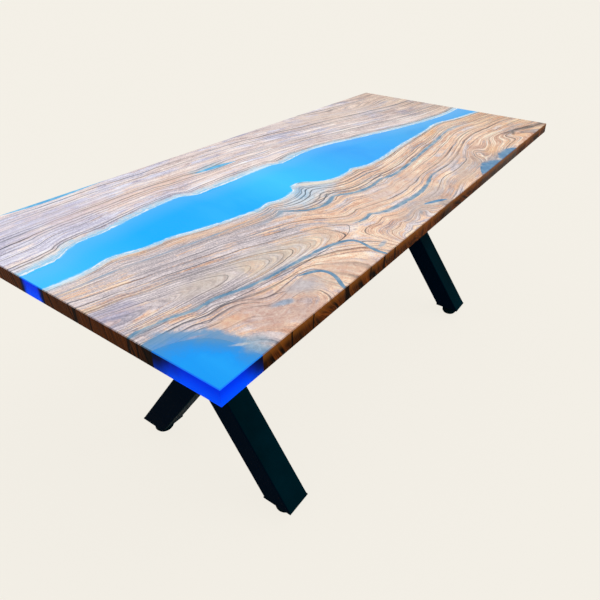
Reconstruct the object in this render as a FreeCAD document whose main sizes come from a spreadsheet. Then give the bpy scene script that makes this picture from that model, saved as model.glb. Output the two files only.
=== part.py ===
"""River table: two live-edge slabs joined by blue resin on two welded X-frames with levelling feet.

Units are millimetres.  The origin is on the floor under the middle of the top,
+X runs along the length to the far end, +Y to the back, +Z up.
"""
import FreeCAD, Part
import os
import Sketcher
from FreeCAD import Placement, Rotation, Vector

# Driving dimensions, by piece
SIZES = {
    # Tabletop
    "table_height": 780,
    "top_length": 1800,
    "top_width": 840,
    "top_thickness": 36,
    "top_edge_chamfer": 1.5,
    # Filled cracks and pockets in the slabs
    "crack_depth": 24,
    "long_crack_width": 9,
    "bay_crack_width": 9,
    "far_crack_width": 14,
    "bank_crack_width": 12,
    "back_sliver_width": 16,
    # X-frames of square tube
    "frame_inset": 340,
    "leg_span": 494,
    "tube_side": 76,
    "tube_wall": 3,
    "tube_corner_radius": 5,
    # Mounting plate on top of each frame, and its fasteners
    "mount_plate_width": 100,
    "mount_plate_thickness": 6,
    "mount_plate_end_margin": 26,
    "bolt_column_spacing": 60,
    "bolt_leg_clearance": 8,
    "bolt_diameter": 8,
    "bolt_reach": 14,
    "bolt_head_across_corners": 15,
    "bolt_head_height": 5.3,
    "bolt_hole_clearance": 1,
    "washer_diameter": 18,
    "washer_thickness": 1.6,
    "insert_diameter": 12,
    "insert_length": 18,
    "insert_fit": 0.2,
    "insert_hole_spare": 2,
    # Foot plate and threaded bush in the lower end of each leg
    "foot_plate_thickness": 4,
    "bush_diameter": 20,
    "bush_height": 12,
    # Levelling foot
    "sole_diameter": 50,
    "sole_thickness": 4,
    "pad_diameter": 57,
    "pad_rim_height": 18,
    "pad_neck_diameter": 34,
    "pad_cone_height": 5,
    "stud_diameter": 10,
    "stud_spare_height": 10,
    "stud_seat_depth": 9,
    "hex_across_corners": 20,
    "hex_height": 8,
    "thread_clearance": 0.3,
    "foot_play": 0.3,
    # How far a cutting shape runs past what it cuts
    "overrun": 20,
}

# Shares of the top's length and width, from the near front corner
FRONT_BANK_SHARES = [
    (0.0, 0.547), (0.055, 0.540), (0.077, 0.549), (0.117, 0.525), (0.161, 0.510), (0.193, 0.488),
    (0.249, 0.458), (0.289, 0.447), (0.305, 0.453), (0.322, 0.441), (0.362, 0.450), (0.381, 0.481),
    (0.399, 0.470), (0.420, 0.428), (0.444, 0.406), (0.482, 0.403), (0.499, 0.410), (0.514, 0.396),
    (0.535, 0.384), (0.661, 0.400), (0.785, 0.410), (0.839, 0.420), (0.904, 0.385), (0.970, 0.359),
    (1.0, 0.346),
]
BACK_BANK_SHARES = [
    (0.0, 0.640), (0.050, 0.648), (0.064, 0.668), (0.086, 0.681), (0.116, 0.678), (0.149, 0.688),
    (0.204, 0.701), (0.247, 0.702), (0.268, 0.672), (0.355, 0.665), (0.435, 0.658), (0.448, 0.641),
    (0.523, 0.651), (0.658, 0.582), (0.763, 0.516), (0.911, 0.453), (1.0, 0.450),
]
MIDSTREAM_SHARES = [
    (0.0, 0.594), (0.1, 0.608), (0.2, 0.594), (0.38, 0.570), (0.5, 0.526), (0.66, 0.491),
    (0.78, 0.458), (0.84, 0.447), (0.91, 0.418), (1.0, 0.398),
]

# A pocket starts and ends on the edge of the top, and the edge closes it
CORNER_POCKET_SHARES = [
    (0.0, 0.180), (0.027, 0.153), (0.044, 0.113), (0.050, 0.078), (0.051, 0.039), (0.053, 0.0),
]
FAR_POCKET_SHARES = [
    (0.603, 0.0), (0.627, 0.027), (0.679, 0.041), (0.696, 0.019), (0.729, 0.038), (0.770, 0.027),
    (0.792, 0.0),
]
MIDDLE_POCKET_SHARES = [
    (0.452, 0.0), (0.447, 0.026), (0.438, 0.058), (0.460, 0.046), (0.474, 0.024), (0.480, 0.0),
]
BACK_POCKET_SHARES = [
    (0.060, 1.0), (0.095, 0.986), (0.137, 0.982), (0.180, 0.988), (0.236, 1.0),
]

# The middle line of each filled crack, and how full its two ends are
LONG_CRACK_SHARES = [
    (0.0, 0.248), (0.041, 0.234), (0.069, 0.212), (0.088, 0.211), (0.119, 0.189), (0.204, 0.160),
    (0.252, 0.145), (0.284, 0.104), (0.281, 0.060), (0.279, 0.0),
]
BAY_CRACK_SHARES = [
    (0.176, 0.118), (0.190, 0.105), (0.200, 0.087), (0.201, 0.056), (0.191, 0.018), (0.186, 0.0),
]
FAR_CRACK_SHARES = [
    (0.326, 0.163), (0.345, 0.153), (0.363, 0.158), (0.376, 0.139), (0.394, 0.125), (0.430, 0.116),
    (0.470, 0.111), (0.508, 0.122), (0.552, 0.146),
]
BANK_CRACK_SHARES = [
    (0.298, 0.380), (0.311, 0.345), (0.330, 0.313), (0.352, 0.305), (0.371, 0.312), (0.384, 0.322),
    (0.397, 0.305), (0.413, 0.284), (0.442, 0.268), (0.470, 0.269), (0.486, 0.274), (0.501, 0.264),
    (0.549, 0.260), (0.632, 0.280), (0.727, 0.305), (0.816, 0.328),
]
BACK_SLIVER_SHARES = [(0.325, 0.812), (0.350, 0.807), (0.380, 0.799), (0.408, 0.790)]
OPEN_END_SHARE = 0.7
CLOSED_END_SHARE = 0.12

doc = FreeCAD.newDocument("river_table")
sheet = doc.addObject("Spreadsheet::Sheet", "dims")
for row, (alias, number) in enumerate(SIZES.items(), start=1):
    sheet.set(f"A{row}", alias)
    sheet.set(f"B{row}", str(number))
    sheet.setAlias(f"B{row}", alias)
doc.recompute()

# Derived heights and the legs' lean, as sheet expressions
TOP_UNDERSIDE = "(dims.table_height - dims.top_thickness)"
PLATE_UNDERSIDE = f"({TOP_UNDERSIDE} - dims.mount_plate_thickness)"
WASHER_UNDERSIDE = f"({PLATE_UNDERSIDE} - dims.washer_thickness)"
PAD_TOP = "(dims.sole_thickness + dims.pad_rim_height + dims.pad_cone_height)"
FOOT_PLATE_UNDERSIDE = f"({PAD_TOP} + dims.hex_height + dims.foot_play)"
TUBE_FOOT = f"({FOOT_PLATE_UNDERSIDE} + dims.foot_plate_thickness)"
BUSH_TOP = f"({TUBE_FOOT} + dims.bush_height)"
FRAME_PLACE = "(dims.top_length / 2 - dims.frame_inset)"
LEAN = f"atan(dims.leg_span / ({PLATE_UNDERSIDE} - {TUBE_FOOT}))"
LEVEL_CUT = f"(dims.tube_side / cos({LEAN}))"
BOLT_OFFSET = f"({LEVEL_CUT} / 2 + dims.washer_diameter / 2 + dims.bolt_leg_clearance)"

# The bolt rows on each side of a mounting plate, inside and outside of the leg's top
BOLT_ROWS = {
    "inner": f"(dims.leg_span / 2 - {BOLT_OFFSET})",
    "outer": f"(dims.leg_span / 2 + {BOLT_OFFSET})",
}

nodes = {}


def size(alias):
    """The number in the sheet's cell of that name."""
    return float(sheet.get(alias))


def amount(expression):
    """The number that a sheet expression comes to."""
    return float(sheet.evalExpression(expression))


def place(thing, x="0", y="0", z="0"):
    """Bind an object's position to three sheet expressions."""
    for axis, expression in (("x", x), ("y", y), ("z", z)):
        thing.setExpression(f".Placement.Base.{axis}", expression)


def bound(kind, name, **expressions):
    """A document object whose properties are bound to sheet expressions."""
    thing = doc.addObject(kind, name)
    for prop, expression in expressions.items():
        thing.setExpression(prop, expression)
    return thing


def cylinder(name, diameter, height, x="0", y="0", z="0"):
    """An upright cylinder that stands at a place."""
    made = bound("Part::Cylinder", name, Radius=f"({diameter}) / 2", Height=height)
    place(made, x, y, z)
    return made


def hexagon(name, across_corners, height, x="0", y="0", z="0"):
    """An upright six-sided prism that stands at a place."""
    made = bound("Part::Prism", name, Circumradius=f"({across_corners}) / 2", Height=height)
    made.Polygon = 6
    place(made, x, y, z)
    return made


def joined(kind, name, base, tool):
    """A boolean of two objects: Part::Cut, Part::Fuse or Part::Common."""
    made = doc.addObject(kind, name)
    made.Base = base
    made.Tool = tool
    return made


def merged(name, things):
    """Several cutting shapes taken together."""
    made = doc.addObject("Part::MultiFuse", name)
    made.Shapes = things
    return made


def node(label, thing):
    """Register a finished sub-part under its node name."""
    thing.Label = label
    nodes[label] = thing
    return thing


def group(label, master, places):
    """A node of separate equal solids: copies of one master shape."""
    doc.recompute()
    copies = [master.Shape.translated(where) for where in places]
    made = doc.addObject("Part::Feature", label)
    made.Shape = Part.makeCompound(copies)
    return node(label, made)


def sketch_on(body, name, role):
    """A sketch on one of the body's own origin planes."""
    sketch = body.newObject("Sketcher::SketchObject", name)
    plane = next(item for item in body.Origin.OriginFeatures if item.Role == role)
    sketch.AttachmentSupport = [(plane, "")]
    sketch.MapMode = "FlatFace"
    return sketch


def bind_distance(sketch, kind, geometry, expression):
    """One distance constraint of a sketch, bound to a sheet expression."""
    number = sketch.addConstraint(Sketcher.Constraint(kind, *geometry, 1.0))
    sketch.setExpression(f"Constraints[{number}]", expression)


def draw_rectangle(sketch, width, depth):
    """A rectangle about the sketch's origin; width and depth are sheet expressions."""
    corners = [Vector(-1, -1, 0), Vector(1, -1, 0), Vector(1, 1, 0), Vector(-1, 1, 0)]
    first = sketch.GeometryCount
    for start, end in zip(corners, corners[1:] + corners[:1]):
        sketch.addGeometry(Part.LineSegment(start, end))
    for side in range(4):
        sketch.addConstraint(Sketcher.Constraint("Coincident", first + side, 2, first + (side + 1) % 4, 1))
        direction = "Horizontal" if side % 2 == 0 else "Vertical"
        sketch.addConstraint(Sketcher.Constraint(direction, first + side))
    sketch.addConstraint(Sketcher.Constraint("Symmetric", first, 1, first + 1, 2, -1, 1))
    bind_distance(sketch, "DistanceX", (first, 1, first, 2), width)
    bind_distance(sketch, "DistanceY", (first + 1, 1, first + 1, 2), depth)


def draw_circle(sketch, diameter, x, y, guess):
    """A circle whose centre is x and y from the sketch's origin, near a guessed place."""
    circle = sketch.addGeometry(Part.Circle(guess, Vector(0, 0, 1), 1))
    sketch.setExpression(
        f"Constraints[{sketch.addConstraint(Sketcher.Constraint('Diameter', circle, 2.0))}]", diameter)
    for kind, expression in (("DistanceX", x), ("DistanceY", y)):
        bind_distance(sketch, kind, (-1, 1, circle, 3), expression)


def add_pad(body, sketch, length):
    """Pad a sketch up to a length given as a sheet expression."""
    pad = body.newObject("PartDesign::Pad", "pad")
    pad.Profile = sketch
    pad.setExpression("Length", length)
    doc.recompute()
    return pad


def add_through_pocket(body, sketch):
    """Cut a sketch on the base plane right through the body above it."""
    before = body.Shape.Volume
    pocket = body.newObject("PartDesign::Pocket", "pocket")
    pocket.Profile = sketch
    pocket.Type = "ThroughAll"
    pocket.Reversed = True
    doc.recompute()
    if body.Shape.Volume >= before:
        raise RuntimeError(f"pocket in {body.Label} cuts nothing")
    return pocket


# Outlines of the top in plan

def plan_point(share):
    """A point of the top from its shares of the length and the width."""
    along, across = share
    return Vector((along - 0.5) * size("top_length"), (across - 0.5) * size("top_width"), 0)


def smooth_line(points):
    """One smooth edge through the points."""
    curve = Part.BSplineCurve()
    curve.interpolate(points)
    return curve.toShape()


def straight_run(points):
    """Straight edges from each point to the next."""
    return [Part.makeLine(start, end) for start, end in zip(points, points[1:])]


def prism(name, edges, depth):
    """A closed plan outline, cut from above the top down to a depth below it."""
    overrun = size("overrun")
    face = Part.Face(Part.Wire(Part.__sortEdges__(edges)))
    made = doc.addObject("Part::Feature", name)
    made.Shape = face.extrude(Vector(0, 0, depth + overrun))
    made.Placement = Placement(Vector(0, 0, size("table_height") - depth), Rotation())
    return made


def through_depth():
    """The depth of a cut that goes right through the top."""
    return size("top_thickness") + size("overrun")


def river_prism():
    """The space between the two banks, run out past both ends of the top."""
    out = Vector(size("overrun"), 0, 0)
    front = [plan_point(share) for share in FRONT_BANK_SHARES]
    back = [plan_point(share) for share in BACK_BANK_SHARES]
    near_end = [front[0], front[0] - out, back[0] - out, back[0]]
    far_end = [front[-1], front[-1] + out, back[-1] + out, back[-1]]
    edges = [smooth_line(front), smooth_line(back)] + straight_run(near_end) + straight_run(far_end)
    return prism("river_space", edges, through_depth())


def front_side_prism():
    """Everything in front of a line down the middle of the river."""
    overrun = size("overrun")
    middle = [plan_point(share) for share in MIDSTREAM_SHARES]
    first = middle[0] - Vector(overrun, 0, 0)
    last = middle[-1] + Vector(overrun, 0, 0)
    front_line = -size("top_width") / 2 - overrun
    front_corners = [Vector(first.x, front_line, 0), Vector(last.x, front_line, 0)]
    around = [middle[0], first] + front_corners + [last, middle[-1]]
    return prism("front_side", [smooth_line(middle)] + straight_run(around), through_depth())


def pocket_prism(name, shares, outside):
    """A pocket at the edge of the top, closed through points outside the top."""
    points = [plan_point(share) for share in shares]
    around = [points[-1]] + outside(points[-1], points[0]) + [points[0]]
    return prism(name, [smooth_line(points)] + straight_run(around), through_depth())


def past_the_side(direction):
    """Closing points straight out from a long side: -1 is the front, 1 the back."""
    out = Vector(0, direction * size("overrun"), 0)
    return lambda last, first: [last + out, first + out]


def past_the_corner(last, first):
    """Closing points round the near front corner."""
    overrun = size("overrun")
    corner = plan_point((0, 0)) - Vector(overrun, overrun, 0)
    return [Vector(last.x, corner.y, 0), corner, Vector(corner.x, first.y, 0)]


def crack_prism(name, shares, width, ends):
    """A crack that follows its middle line, full in the middle and thin at a closed end.

    An end on the edge of the top is run straight on, past the edge.
    """
    middle = [plan_point(share) for share in shares]
    fullness = [1.0] * len(middle)
    for at, end in zip((0, -1), ends):
        fullness[at] = OPEN_END_SHARE if end == "open" else CLOSED_END_SHARE
    left, right = [], []
    for number, point in enumerate(middle):
        before = middle[max(number - 1, 0)]
        after = middle[min(number + 1, len(middle) - 1)]
        along = (after - before).normalize()
        half = Vector(-along.y, along.x, 0) * (size(width) * fullness[number] / 2)
        left.append(point + half)
        right.append(point - half)
    edges = [smooth_line(left), smooth_line(right)]
    for at, step, end in ((0, 1, ends[0]), (-1, -2, ends[1])):
        out = (middle[at] - middle[step]).normalize() * size("overrun")
        run = [left[at], left[at] + out, right[at] + out, right[at]]
        edges += straight_run(run if end == "open" else [left[at], right[at]])
    return prism(name, edges, size("crack_depth"))


# Tabletop
top_blank = doc.addObject("PartDesign::Body", "top_blank")
top_outline = sketch_on(top_blank, "top_outline", "XY_Plane")
draw_rectangle(top_outline, "dims.top_length", "dims.top_width")
top_pad = add_pad(top_blank, top_outline, "dims.top_thickness")
rims = []
for number, edge in enumerate(top_pad.Shape.Edges, start=1):
    start, end = (vertex.Point for vertex in edge.Vertexes)
    if start.z == end.z:
        rims.append(f"Edge{number}")
top_chamfer = top_blank.newObject("PartDesign::Chamfer", "top_chamfer")
top_chamfer.Base = (top_pad, rims)
top_chamfer.setExpression("Size", "dims.top_edge_chamfer")
place(top_blank, z=TOP_UNDERSIDE)

river = river_prism()
front_side = front_side_prism()
wood = joined("Part::Cut", "wood", top_blank, river)
front_wood = joined("Part::Common", "front_wood", wood, front_side)
back_wood = joined("Part::Cut", "back_wood", wood, front_side)
front_spaces = {
    "corner_pocket": pocket_prism("corner_space", CORNER_POCKET_SHARES, past_the_corner),
    "far_pocket": pocket_prism("far_space", FAR_POCKET_SHARES, past_the_side(-1)),
    "middle_pocket": pocket_prism("middle_space", MIDDLE_POCKET_SHARES, past_the_side(-1)),
    "long_crack": crack_prism("long_space", LONG_CRACK_SHARES, "long_crack_width", ("open", "open")),
    "bay_crack": crack_prism("bay_space", BAY_CRACK_SHARES, "bay_crack_width", ("closed", "open")),
    "far_crack": crack_prism("far_crack_space", FAR_CRACK_SHARES, "far_crack_width", ("closed", "closed")),
    "bank_crack": crack_prism("bank_space", BANK_CRACK_SHARES, "bank_crack_width", ("closed", "closed")),
}
back_spaces = {
    "back_pocket": pocket_prism("back_space", BACK_POCKET_SHARES, past_the_side(1)),
    "back_sliver": crack_prism("sliver_space", BACK_SLIVER_SHARES, "back_sliver_width", ("closed", "closed")),
}

# Each frame's end of the top, and the places of its bolts
FRAMES = {"near": -1, "far": 1}


def bolt_places(end):
    """The bolt places of one frame in plan."""
    places = []
    for row in BOLT_ROWS.values():
        for column in (-1, 1):
            for across in (-1, 1):
                x = end * amount(FRAME_PLACE) + column * size("bolt_column_spacing") / 2
                places.append(Vector(x, across * amount(row), 0))
    return places


# The cast top is drilled for the inserts from below, wherever wood or resin meets a bolt
insert_hole = cylinder(
    "insert_hole", "dims.insert_diameter + dims.insert_fit",
    "dims.insert_length + dims.insert_hole_spare + dims.overrun", z=f"{TOP_UNDERSIDE} - dims.overrun")
doc.recompute()
all_bolt_places = [where for end in FRAMES.values() for where in bolt_places(end)]
insert_holes = doc.addObject("Part::Feature", "insert_holes")
insert_holes.Shape = Part.makeCompound([insert_hole.Shape.translated(where) for where in all_bolt_places])

front_fills = merged("front_fills", list(front_spaces.values()))
back_fills = merged("back_fills", list(back_spaces.values()))
top_pieces = {
    "front_slab": joined("Part::Cut", "front_cast", front_wood, front_fills),
    "back_slab": joined("Part::Cut", "back_cast", back_wood, back_fills),
    "river_resin": joined("Part::Common", "river_cast", top_blank, river),
}
for name, space in {**front_spaces, **back_spaces}.items():
    top_pieces[f"{name}_resin"] = joined("Part::Common", f"{name}_cast", top_blank, space)
for label, cast in top_pieces.items():
    node(label, joined("Part::Cut", label, cast, insert_holes))


# X-frames

def tube_blank(name, frame_x, lean_to):
    """A long square tube on a leg's slanting line; lean_to is 1 if its top goes to the back."""
    body = doc.addObject("PartDesign::Body", name)
    outside = sketch_on(body, "tube_outside", "XY_Plane")
    draw_rectangle(outside, "dims.tube_side", "dims.tube_side")
    pad = add_pad(body, outside, f"({PLATE_UNDERSIDE} - {TUBE_FOOT}) / cos({LEAN}) + 2 * dims.tube_side")
    corners = []
    for number, edge in enumerate(pad.Shape.Edges, start=1):
        start, end = (vertex.Point for vertex in edge.Vertexes)
        if start.z != end.z:
            corners.append(f"Edge{number}")
    rounding = body.newObject("PartDesign::Fillet", "tube_corners")
    rounding.Base = (pad, corners)
    rounding.setExpression("Radius", "dims.tube_corner_radius")
    doc.recompute()
    inside = sketch_on(body, "tube_inside", "XY_Plane")
    draw_rectangle(inside, "dims.tube_side - 2 * dims.tube_wall", "dims.tube_side - 2 * dims.tube_wall")
    add_through_pocket(body, inside)
    set_on_leg_line(body, frame_x, lean_to)
    return body


def set_on_leg_line(thing, frame_x, lean_to):
    """Lean an upright piece over and start it a tube's width below the foot."""
    thing.Placement = Placement(Vector(), Rotation(Vector(-lean_to, 0, 0), 1))
    thing.setExpression(".Placement.Rotation.Angle", LEAN)
    place(
        thing, frame_x,
        f"{-lean_to} * (dims.leg_span / 2 + dims.tube_side * sin({LEAN}))",
        f"{TUBE_FOOT} - dims.tube_side * cos({LEAN})")


def zone(name, frame_x, low, high):
    """A wide block between two heights that trims a frame's tubes."""
    made = bound(
        "Part::Box", name, Length="2 * dims.tube_side", Width="2 * dims.top_width", Height=f"{high} - {low}")
    place(made, f"{frame_x} - dims.tube_side", "-dims.top_width", low)
    return made


def core_of_leg(name, frame_x, lean_to):
    """The full square core of a leg, which the crossing half legs stop against."""
    body = doc.addObject("PartDesign::Body", name)
    outline = sketch_on(body, "core_outline", "XY_Plane")
    draw_rectangle(outline, "2 * dims.tube_side", "dims.tube_side")
    add_pad(body, outline, f"({PLATE_UNDERSIDE} - {TUBE_FOOT}) / cos({LEAN}) + 2 * dims.tube_side")
    set_on_leg_line(body, frame_x, lean_to)
    return body


def make_legs(frame, frame_x):
    """One leg in a single length and the two half legs welded to its sides."""
    crossing = f"({PLATE_UNDERSIDE} + {TUBE_FOOT}) / 2"
    whole_height = zone(f"{frame}_whole_height", frame_x, TUBE_FOOT, PLATE_UNDERSIDE)
    through = tube_blank(f"{frame}_through_tube", frame_x, 1)
    node(f"{frame}_through_leg", joined("Part::Common", f"{frame}_through_leg", through, whole_height))
    crossed = tube_blank(f"{frame}_crossed_tube", frame_x, -1)
    core = core_of_leg(f"{frame}_through_core", frame_x, 1)
    halves = joined("Part::Cut", f"{frame}_halves", crossed, core)
    for half, low, high in (("lower", TUBE_FOOT, crossing), ("upper", crossing, PLATE_UNDERSIDE)):
        label = f"{frame}_{half}_half_leg"
        node(label, joined("Part::Common", label, halves, zone(f"{label}_zone", frame_x, low, high)))


def make_mount_plate(frame, frame_x):
    """The flat plate on top of a frame, with its bolt holes."""
    body = doc.addObject("PartDesign::Body", f"{frame}_mount_plate")
    outline = sketch_on(body, "plate_outline", "XY_Plane")
    length = f"2 * ({BOLT_ROWS['outer']} + dims.mount_plate_end_margin)"
    draw_rectangle(outline, "dims.mount_plate_width", length)
    add_pad(body, outline, "dims.mount_plate_thickness")
    holes = sketch_on(body, "bolt_holes", "XY_Plane")
    for row in BOLT_ROWS.values():
        for across in (-1, 1):
            for column in (-1, 1):
                guess = Vector(column * size("bolt_column_spacing") / 2, across * amount(row), 0)
                draw_circle(
                    holes, "dims.bolt_diameter + dims.bolt_hole_clearance",
                    f"{column} * dims.bolt_column_spacing / 2", f"{across} * {row}", guess)
    add_through_pocket(body, holes)
    place(body, frame_x, "0", PLATE_UNDERSIDE)
    node(f"{frame}_mount_plate", body)


# Masters of the frame bolts, washers and threaded inserts, drawn at the middle of the top
bolt_head = hexagon(
    "bolt_head", "dims.bolt_head_across_corners", "dims.bolt_head_height",
    z=f"{WASHER_UNDERSIDE} - dims.bolt_head_height")
bolt_shank = cylinder(
    "bolt_shank", "dims.bolt_diameter",
    "dims.washer_thickness + dims.mount_plate_thickness + dims.bolt_reach", z=WASHER_UNDERSIDE)
bolt = joined("Part::Fuse", "bolt", bolt_head, bolt_shank)
washer_disc = cylinder("washer_disc", "dims.washer_diameter", "dims.washer_thickness", z=WASHER_UNDERSIDE)
washer_hole = cylinder(
    "washer_hole", "dims.bolt_diameter + dims.bolt_hole_clearance", "dims.washer_thickness",
    z=WASHER_UNDERSIDE)
washer = joined("Part::Cut", "washer", washer_disc, washer_hole)
insert_body = cylinder("insert_body", "dims.insert_diameter", "dims.insert_length", z=TOP_UNDERSIDE)
insert_bore = cylinder(
    "insert_bore", "dims.bolt_diameter + dims.insert_fit", "dims.insert_length", z=TOP_UNDERSIDE)
insert = joined("Part::Cut", "insert", insert_body, insert_bore)


# Levelling feet

def make_foot_seat(leg, x, y):
    """The plate that closes a leg's lower end, and the threaded bush on it."""
    bore = "dims.stud_diameter + 2 * dims.thread_clearance"
    plate = doc.addObject("PartDesign::Body", f"{leg}_foot_plate")
    outline = sketch_on(plate, "foot_plate_outline", "XY_Plane")
    draw_rectangle(outline, "dims.tube_side", LEVEL_CUT)
    add_pad(plate, outline, "dims.foot_plate_thickness")
    hole = sketch_on(plate, "stud_hole", "XY_Plane")
    draw_circle(hole, bore, "0 mm", "0 mm", Vector())
    add_through_pocket(plate, hole)
    place(plate, x, y, FOOT_PLATE_UNDERSIDE)
    node(f"{leg}_foot_plate", plate)
    bush = cylinder(f"{leg}_bush_body", "dims.bush_diameter", "dims.bush_height", x, y, TUBE_FOOT)
    bush_bore = cylinder(f"{leg}_bush_bore", bore, "dims.bush_height", x, y, TUBE_FOOT)
    node(f"{leg}_foot_bush", joined("Part::Cut", f"{leg}_foot_bush", bush, bush_bore))


def make_foot(leg, x, y):
    """A levelling foot: rubber sole, steel pad and the threaded stud that turns in the pad."""
    stud_foot = f"{PAD_TOP} - dims.stud_seat_depth"
    sole = cylinder(f"{leg}_foot_sole", "dims.sole_diameter", "dims.sole_thickness", x, y)
    node(f"{leg}_foot_sole", sole)

    rim = cylinder(f"{leg}_pad_rim", "dims.pad_diameter", "dims.pad_rim_height", x, y, "dims.sole_thickness")
    crown = bound(
        "Part::Cone", f"{leg}_pad_crown", Radius1="dims.pad_diameter / 2",
        Radius2="dims.pad_neck_diameter / 2", Height="dims.pad_cone_height")
    place(crown, x, y, "dims.sole_thickness + dims.pad_rim_height")
    pad = joined("Part::Fuse", f"{leg}_pad_solid", rim, crown)
    seat = cylinder(
        f"{leg}_stud_seat", "dims.stud_diameter + 2 * dims.thread_clearance",
        "dims.stud_seat_depth + dims.thread_clearance", x, y, f"{stud_foot} - dims.thread_clearance")
    node(f"{leg}_foot_pad", joined("Part::Cut", f"{leg}_foot_pad", pad, seat))

    shank = cylinder(
        f"{leg}_stud_shank", "dims.stud_diameter", f"{BUSH_TOP} + dims.stud_spare_height - ({stud_foot})",
        x, y, stud_foot)
    collar = hexagon(f"{leg}_stud_collar", "dims.hex_across_corners", "dims.hex_height", x, y, PAD_TOP)
    node(f"{leg}_foot_stud", joined("Part::Fuse", f"{leg}_foot_stud", shank, collar))


for frame, end in FRAMES.items():
    frame_x = f"{end} * {FRAME_PLACE}"
    make_legs(frame, frame_x)
    make_mount_plate(frame, frame_x)
    places = bolt_places(end)
    group(f"{frame}_frame_bolts", bolt, places)
    group(f"{frame}_frame_washers", washer, places)
    group(f"{frame}_frame_inserts", insert, places)
    for side, across in (("front", -1), ("back", 1)):
        leg = f"{frame}_{side}"
        foot_y = f"{across} * dims.leg_span / 2"
        make_foot_seat(leg, frame_x, foot_y)
        make_foot(leg, frame_x, foot_y)

doc.recompute()

# Nothing is written unless every object and every sub-part is sound
failed = [thing.Name for thing in doc.Objects if {"Invalid", "Error"} & set(thing.State)]
if failed:
    raise RuntimeError(f"failed objects: {failed}")
for label, thing in nodes.items():
    if thing.Shape.isNull() or not thing.Shape.isValid():
        raise RuntimeError(f"bad shape: {label}")

os.makedirs("parts", exist_ok=True)
for label, thing in nodes.items():
    thing.Shape.exportStep(os.path.join("parts", f"{label}.step"))
    print(label, len(thing.Shape.Solids), "solids", round(thing.Shape.Volume), "mm3")
print(len(nodes), "nodes")
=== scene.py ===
# %% [markdown]
# This lesson dresses a river table: two live-edge slabs with blue resin cast between them, on two
# welded X-frames of black square tube. The solids come from the CAD model, already in metres and in
# place, so the lesson only adds finishes, small detail, a floor, light and a camera.

# %% Load the frame
import bmesh
import bpy
import math
from mathutils import Matrix, Vector


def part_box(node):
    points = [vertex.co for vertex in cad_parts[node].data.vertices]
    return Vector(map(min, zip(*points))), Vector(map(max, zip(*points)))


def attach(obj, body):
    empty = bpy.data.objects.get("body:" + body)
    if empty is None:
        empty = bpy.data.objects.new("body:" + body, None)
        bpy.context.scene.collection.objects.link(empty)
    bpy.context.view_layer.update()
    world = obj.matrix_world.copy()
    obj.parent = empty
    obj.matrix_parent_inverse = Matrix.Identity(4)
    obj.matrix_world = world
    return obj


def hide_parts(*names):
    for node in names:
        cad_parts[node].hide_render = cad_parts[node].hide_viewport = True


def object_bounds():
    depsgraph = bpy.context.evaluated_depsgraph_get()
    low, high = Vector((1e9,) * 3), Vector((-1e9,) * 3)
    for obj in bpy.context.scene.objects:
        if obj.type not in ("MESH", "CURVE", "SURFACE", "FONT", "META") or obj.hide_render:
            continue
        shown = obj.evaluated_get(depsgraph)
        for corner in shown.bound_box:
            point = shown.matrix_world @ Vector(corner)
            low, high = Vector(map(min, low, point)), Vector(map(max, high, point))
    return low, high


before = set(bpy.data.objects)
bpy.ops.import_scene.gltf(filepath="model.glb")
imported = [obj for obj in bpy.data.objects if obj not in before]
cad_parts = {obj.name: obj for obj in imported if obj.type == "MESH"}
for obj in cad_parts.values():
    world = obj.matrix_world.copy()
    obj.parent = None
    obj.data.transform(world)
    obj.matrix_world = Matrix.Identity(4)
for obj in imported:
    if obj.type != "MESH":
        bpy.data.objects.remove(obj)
cad_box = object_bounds()
scene = bpy.context.scene
print("CAD nodes:", len(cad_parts), "box:", [tuple(corner) for corner in cad_box])

# %% [markdown]
# The camera stands off the near front corner, a little over half a metre above the top. The picture
# is an off-centre crop, so the lens is shifted, as an architect's camera is, and not turned.

# %% Camera
CAMERA_PLACE = Vector((-1.3027, -0.8844, 1.3481))
CAMERA_LOOK = Vector((0.7491, 0.4752, -0.4615))
CAMERA_ROLL = math.radians(1.75)
LENS_MM = 32.15
LENS_SHIFT = (-0.075, -0.108)


def add_camera():
    """A camera that looks along CAMERA_LOOK and is rolled about that line."""
    data = bpy.data.cameras.new("photo_camera")
    data.lens = LENS_MM
    data.shift_x, data.shift_y = LENS_SHIFT
    camera = bpy.data.objects.new("photo_camera", data)
    scene.collection.objects.link(camera)
    turn = CAMERA_LOOK.to_track_quat("-Z", "Y").to_matrix() @ Matrix.Rotation(CAMERA_ROLL, 3, "Z")
    camera.matrix_world = Matrix.Translation(CAMERA_PLACE) @ turn.to_4x4()
    scene.camera = camera
    return camera


camera = add_camera()
print("camera at", tuple(camera.location))

# %% [markdown]
# Every finish below is a tree of shader nodes. A new group or a new finish begins a tree, and the other
# helpers add their nodes to the tree that was begun last. feed() sets a socket or links another one to it,
# wire() does so for several, and most of the others add one node and give back its output.

# %% Helpers for shader nodes
class Bench:
    """Holds the tree that nodes are added to."""
    tree = None


def begin(tree):
    """Put a tree on the bench."""
    Bench.tree = tree
    return tree


def paint(text):
    """A colour written as on a paint card, such as 8A5A3C, as linear red, green, blue and alpha."""
    shares = [int(text[at:at + 2], 16) / 255 for at in (0, 2, 4)]
    linear = [v / 12.92 if v <= 0.04045 else ((v + 0.055) / 1.055) ** 2.4 for v in shares]
    return (*linear, 1.0)


def feed(socket, value):
    """Set a socket's own value, or link another socket to it."""
    if isinstance(value, bpy.types.NodeSocket):
        Bench.tree.links.new(value, socket)
    else:
        socket.default_value = value


def wire(sockets, **values):
    """Feed several sockets of a node, each by its name."""
    for name, value in values.items():
        feed(sockets[name.replace("_", " ")], value)


def add_node(kind, settings=None, **values):
    """A node with its settings, and with its named sockets fed."""
    made = Bench.tree.nodes.new(kind)
    for name, setting in (settings or {}).items():
        setattr(made, name, setting)
    wire(made.inputs, **values)
    return made


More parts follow.
